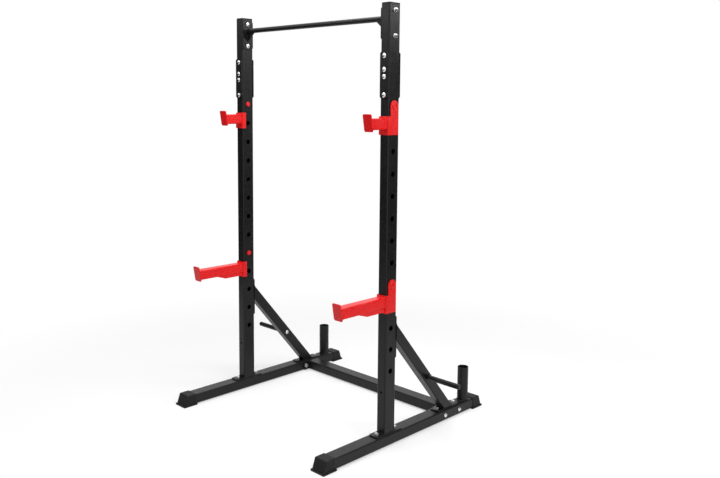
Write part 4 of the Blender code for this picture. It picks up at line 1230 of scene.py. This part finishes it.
def floor_paint():
    """Pale floor: what is seen of it glows more further out, until it is as white as the world."""
    made = new_material("floor")
    tree = made.node_tree
    tree.nodes.clear()
    seen = seen_directly(tree)
    diffuse = tree.nodes.new("ShaderNodeBsdfDiffuse")
    tree.links.new(ranged(tree, seen, FLOOR_BOUNCE, FLOOR_SEEN), diffuse.inputs["Color"])
    glow = tree.nodes.new("ShaderNodeEmission")
    glow.inputs["Color"].default_value = WHITE
    away = tree.nodes.new("ShaderNodeVectorMath")
    away.operation = "LENGTH"
    tree.links.new(tree.nodes.new("ShaderNodeTexCoord").outputs["Object"], away.inputs[0])
    share = tree.nodes.new("ShaderNodeMath")
    share.operation = "MULTIPLY"
    tree.links.new(seen, share.inputs[0])
    fade = ranged(tree, away.outputs["Value"], FLOOR_GLOW, 1.0, *FLOOR_FADE, "SMOOTHSTEP")
    tree.links.new(fade, share.inputs[1])
    mix = tree.nodes.new("ShaderNodeMixShader")
    for source, target in zip((share, diffuse, glow), mix.inputs):
        tree.links.new(source.outputs[0], target)
    out = tree.nodes.new("ShaderNodeOutputMaterial")
    tree.links.new(mix.outputs[0], out.inputs["Surface"])
    return made


def staged(name, mesh, material):
    """An object of the studio."""
    mesh.name = name
    mesh.materials.append(material)
    obj = added(name, mesh)
    return obj


def floor():
    """A pale floor that takes the shadow and runs into the white background further out."""
    bm = bmesh.new()
    bmesh.ops.create_circle(bm, cap_ends=True, radius=FLOOR_RADIUS, segments=FLOOR_SIDES)
    staged("floor", mesh_from(bm), floor_paint()).location.z = FLOOR_LEVEL


def world():
    """White where it is seen, and dimmer as a light."""
    made = bpy.data.worlds.new("studio")
    made.use_nodes = True
    tree = made.node_tree
    background = tree.nodes["Background"]
    background.inputs["Color"].default_value = WHITE
    strength = ranged(tree, seen_directly(tree), WORLD_LIGHT, 1.0)
    tree.links.new(strength, background.inputs["Strength"])
    scene.world = made


def dark_screen(name, middle):
    """A curved dark screen that only reflections show, its middle at some degrees round the studio."""
    bm = bmesh.new()
    shares = [i / SCREEN_STEPS - 0.5 for i in range(SCREEN_STEPS + 1)]
    turns = [math.radians(middle + SCREEN_SPREAD * share) for share in shares]
    low, high = (
        [bm.verts.new((SCREEN_RADIUS * math.cos(t), SCREEN_RADIUS * math.sin(t), z)) for t in turns]
        for z in (0, SCREEN_HEIGHT)
    )
    for i in range(SCREEN_STEPS):
        bm.faces.new((low[i], low[i + 1], high[i + 1], high[i]))
    made = new_material(name)
    shader = made.node_tree.nodes["Principled BSDF"]
    shader.inputs["Base Color"].default_value = SCREEN_COLOUR
    shader.inputs["Specular IOR Level"].default_value = 0.0
    obj = staged(name, mesh_from(bm), made)
    obj.visible_camera = obj.visible_diffuse = obj.visible_shadow = False


def lamp(name, place, target, size, power):
    light = bpy.data.lights.new(name, "AREA")
    light.shape = "RECTANGLE"
    light.size, light.size_y = size
    light.energy = power
    obj = added(name, light)
    obj.location = place
    obj.rotation_euler = (Vector(target) - Vector(place)).to_track_quat("-Z", "Y").to_euler()
    obj.visible_camera = False


def camera():
    """The photograph's camera."""
    turn, tilt, roll = CAMERA_TURN, CAMERA_TILT, CAMERA_ROLL
    ahead = Vector((-math.sin(turn) * math.cos(tilt), math.cos(turn) * math.cos(tilt), math.sin(tilt)))
    level = Vector((math.cos(turn), math.sin(turn), 0))
    upward = level.cross(ahead)
    right = level * math.cos(roll) + upward * math.sin(roll)
    up = upward * math.cos(roll) - level * math.sin(roll)
    data = bpy.data.cameras.new("camera")
    data.lens = CAMERA_LENS
    data.sensor_width = CAMERA_SENSOR
    data.shift_y = CAMERA_SHIFT
    data.clip_start, data.clip_end = CAMERA_CLIP
    facing = Matrix((right, up, -ahead)).transposed().to_4x4()
    scene.camera = added("camera", data)
    scene.camera.matrix_world = Matrix.Translation(CAMERA_PLACE) @ facing


base_rails()
lower_uprights()
upper_uprights()
top_caps()
splice_plates()
pull_up_bar()
braces()
crossmember()
bar_holders()
storage_pegs()
feet()
fasteners()
holders()
floor()
world()
for screen in SCREENS:
    dark_screen(*screen)
for light in LAMPS:
    lamp(*light)
camera()
scene.view_settings.view_transform = "Standard"

bpy.data.collections.remove(helpers)
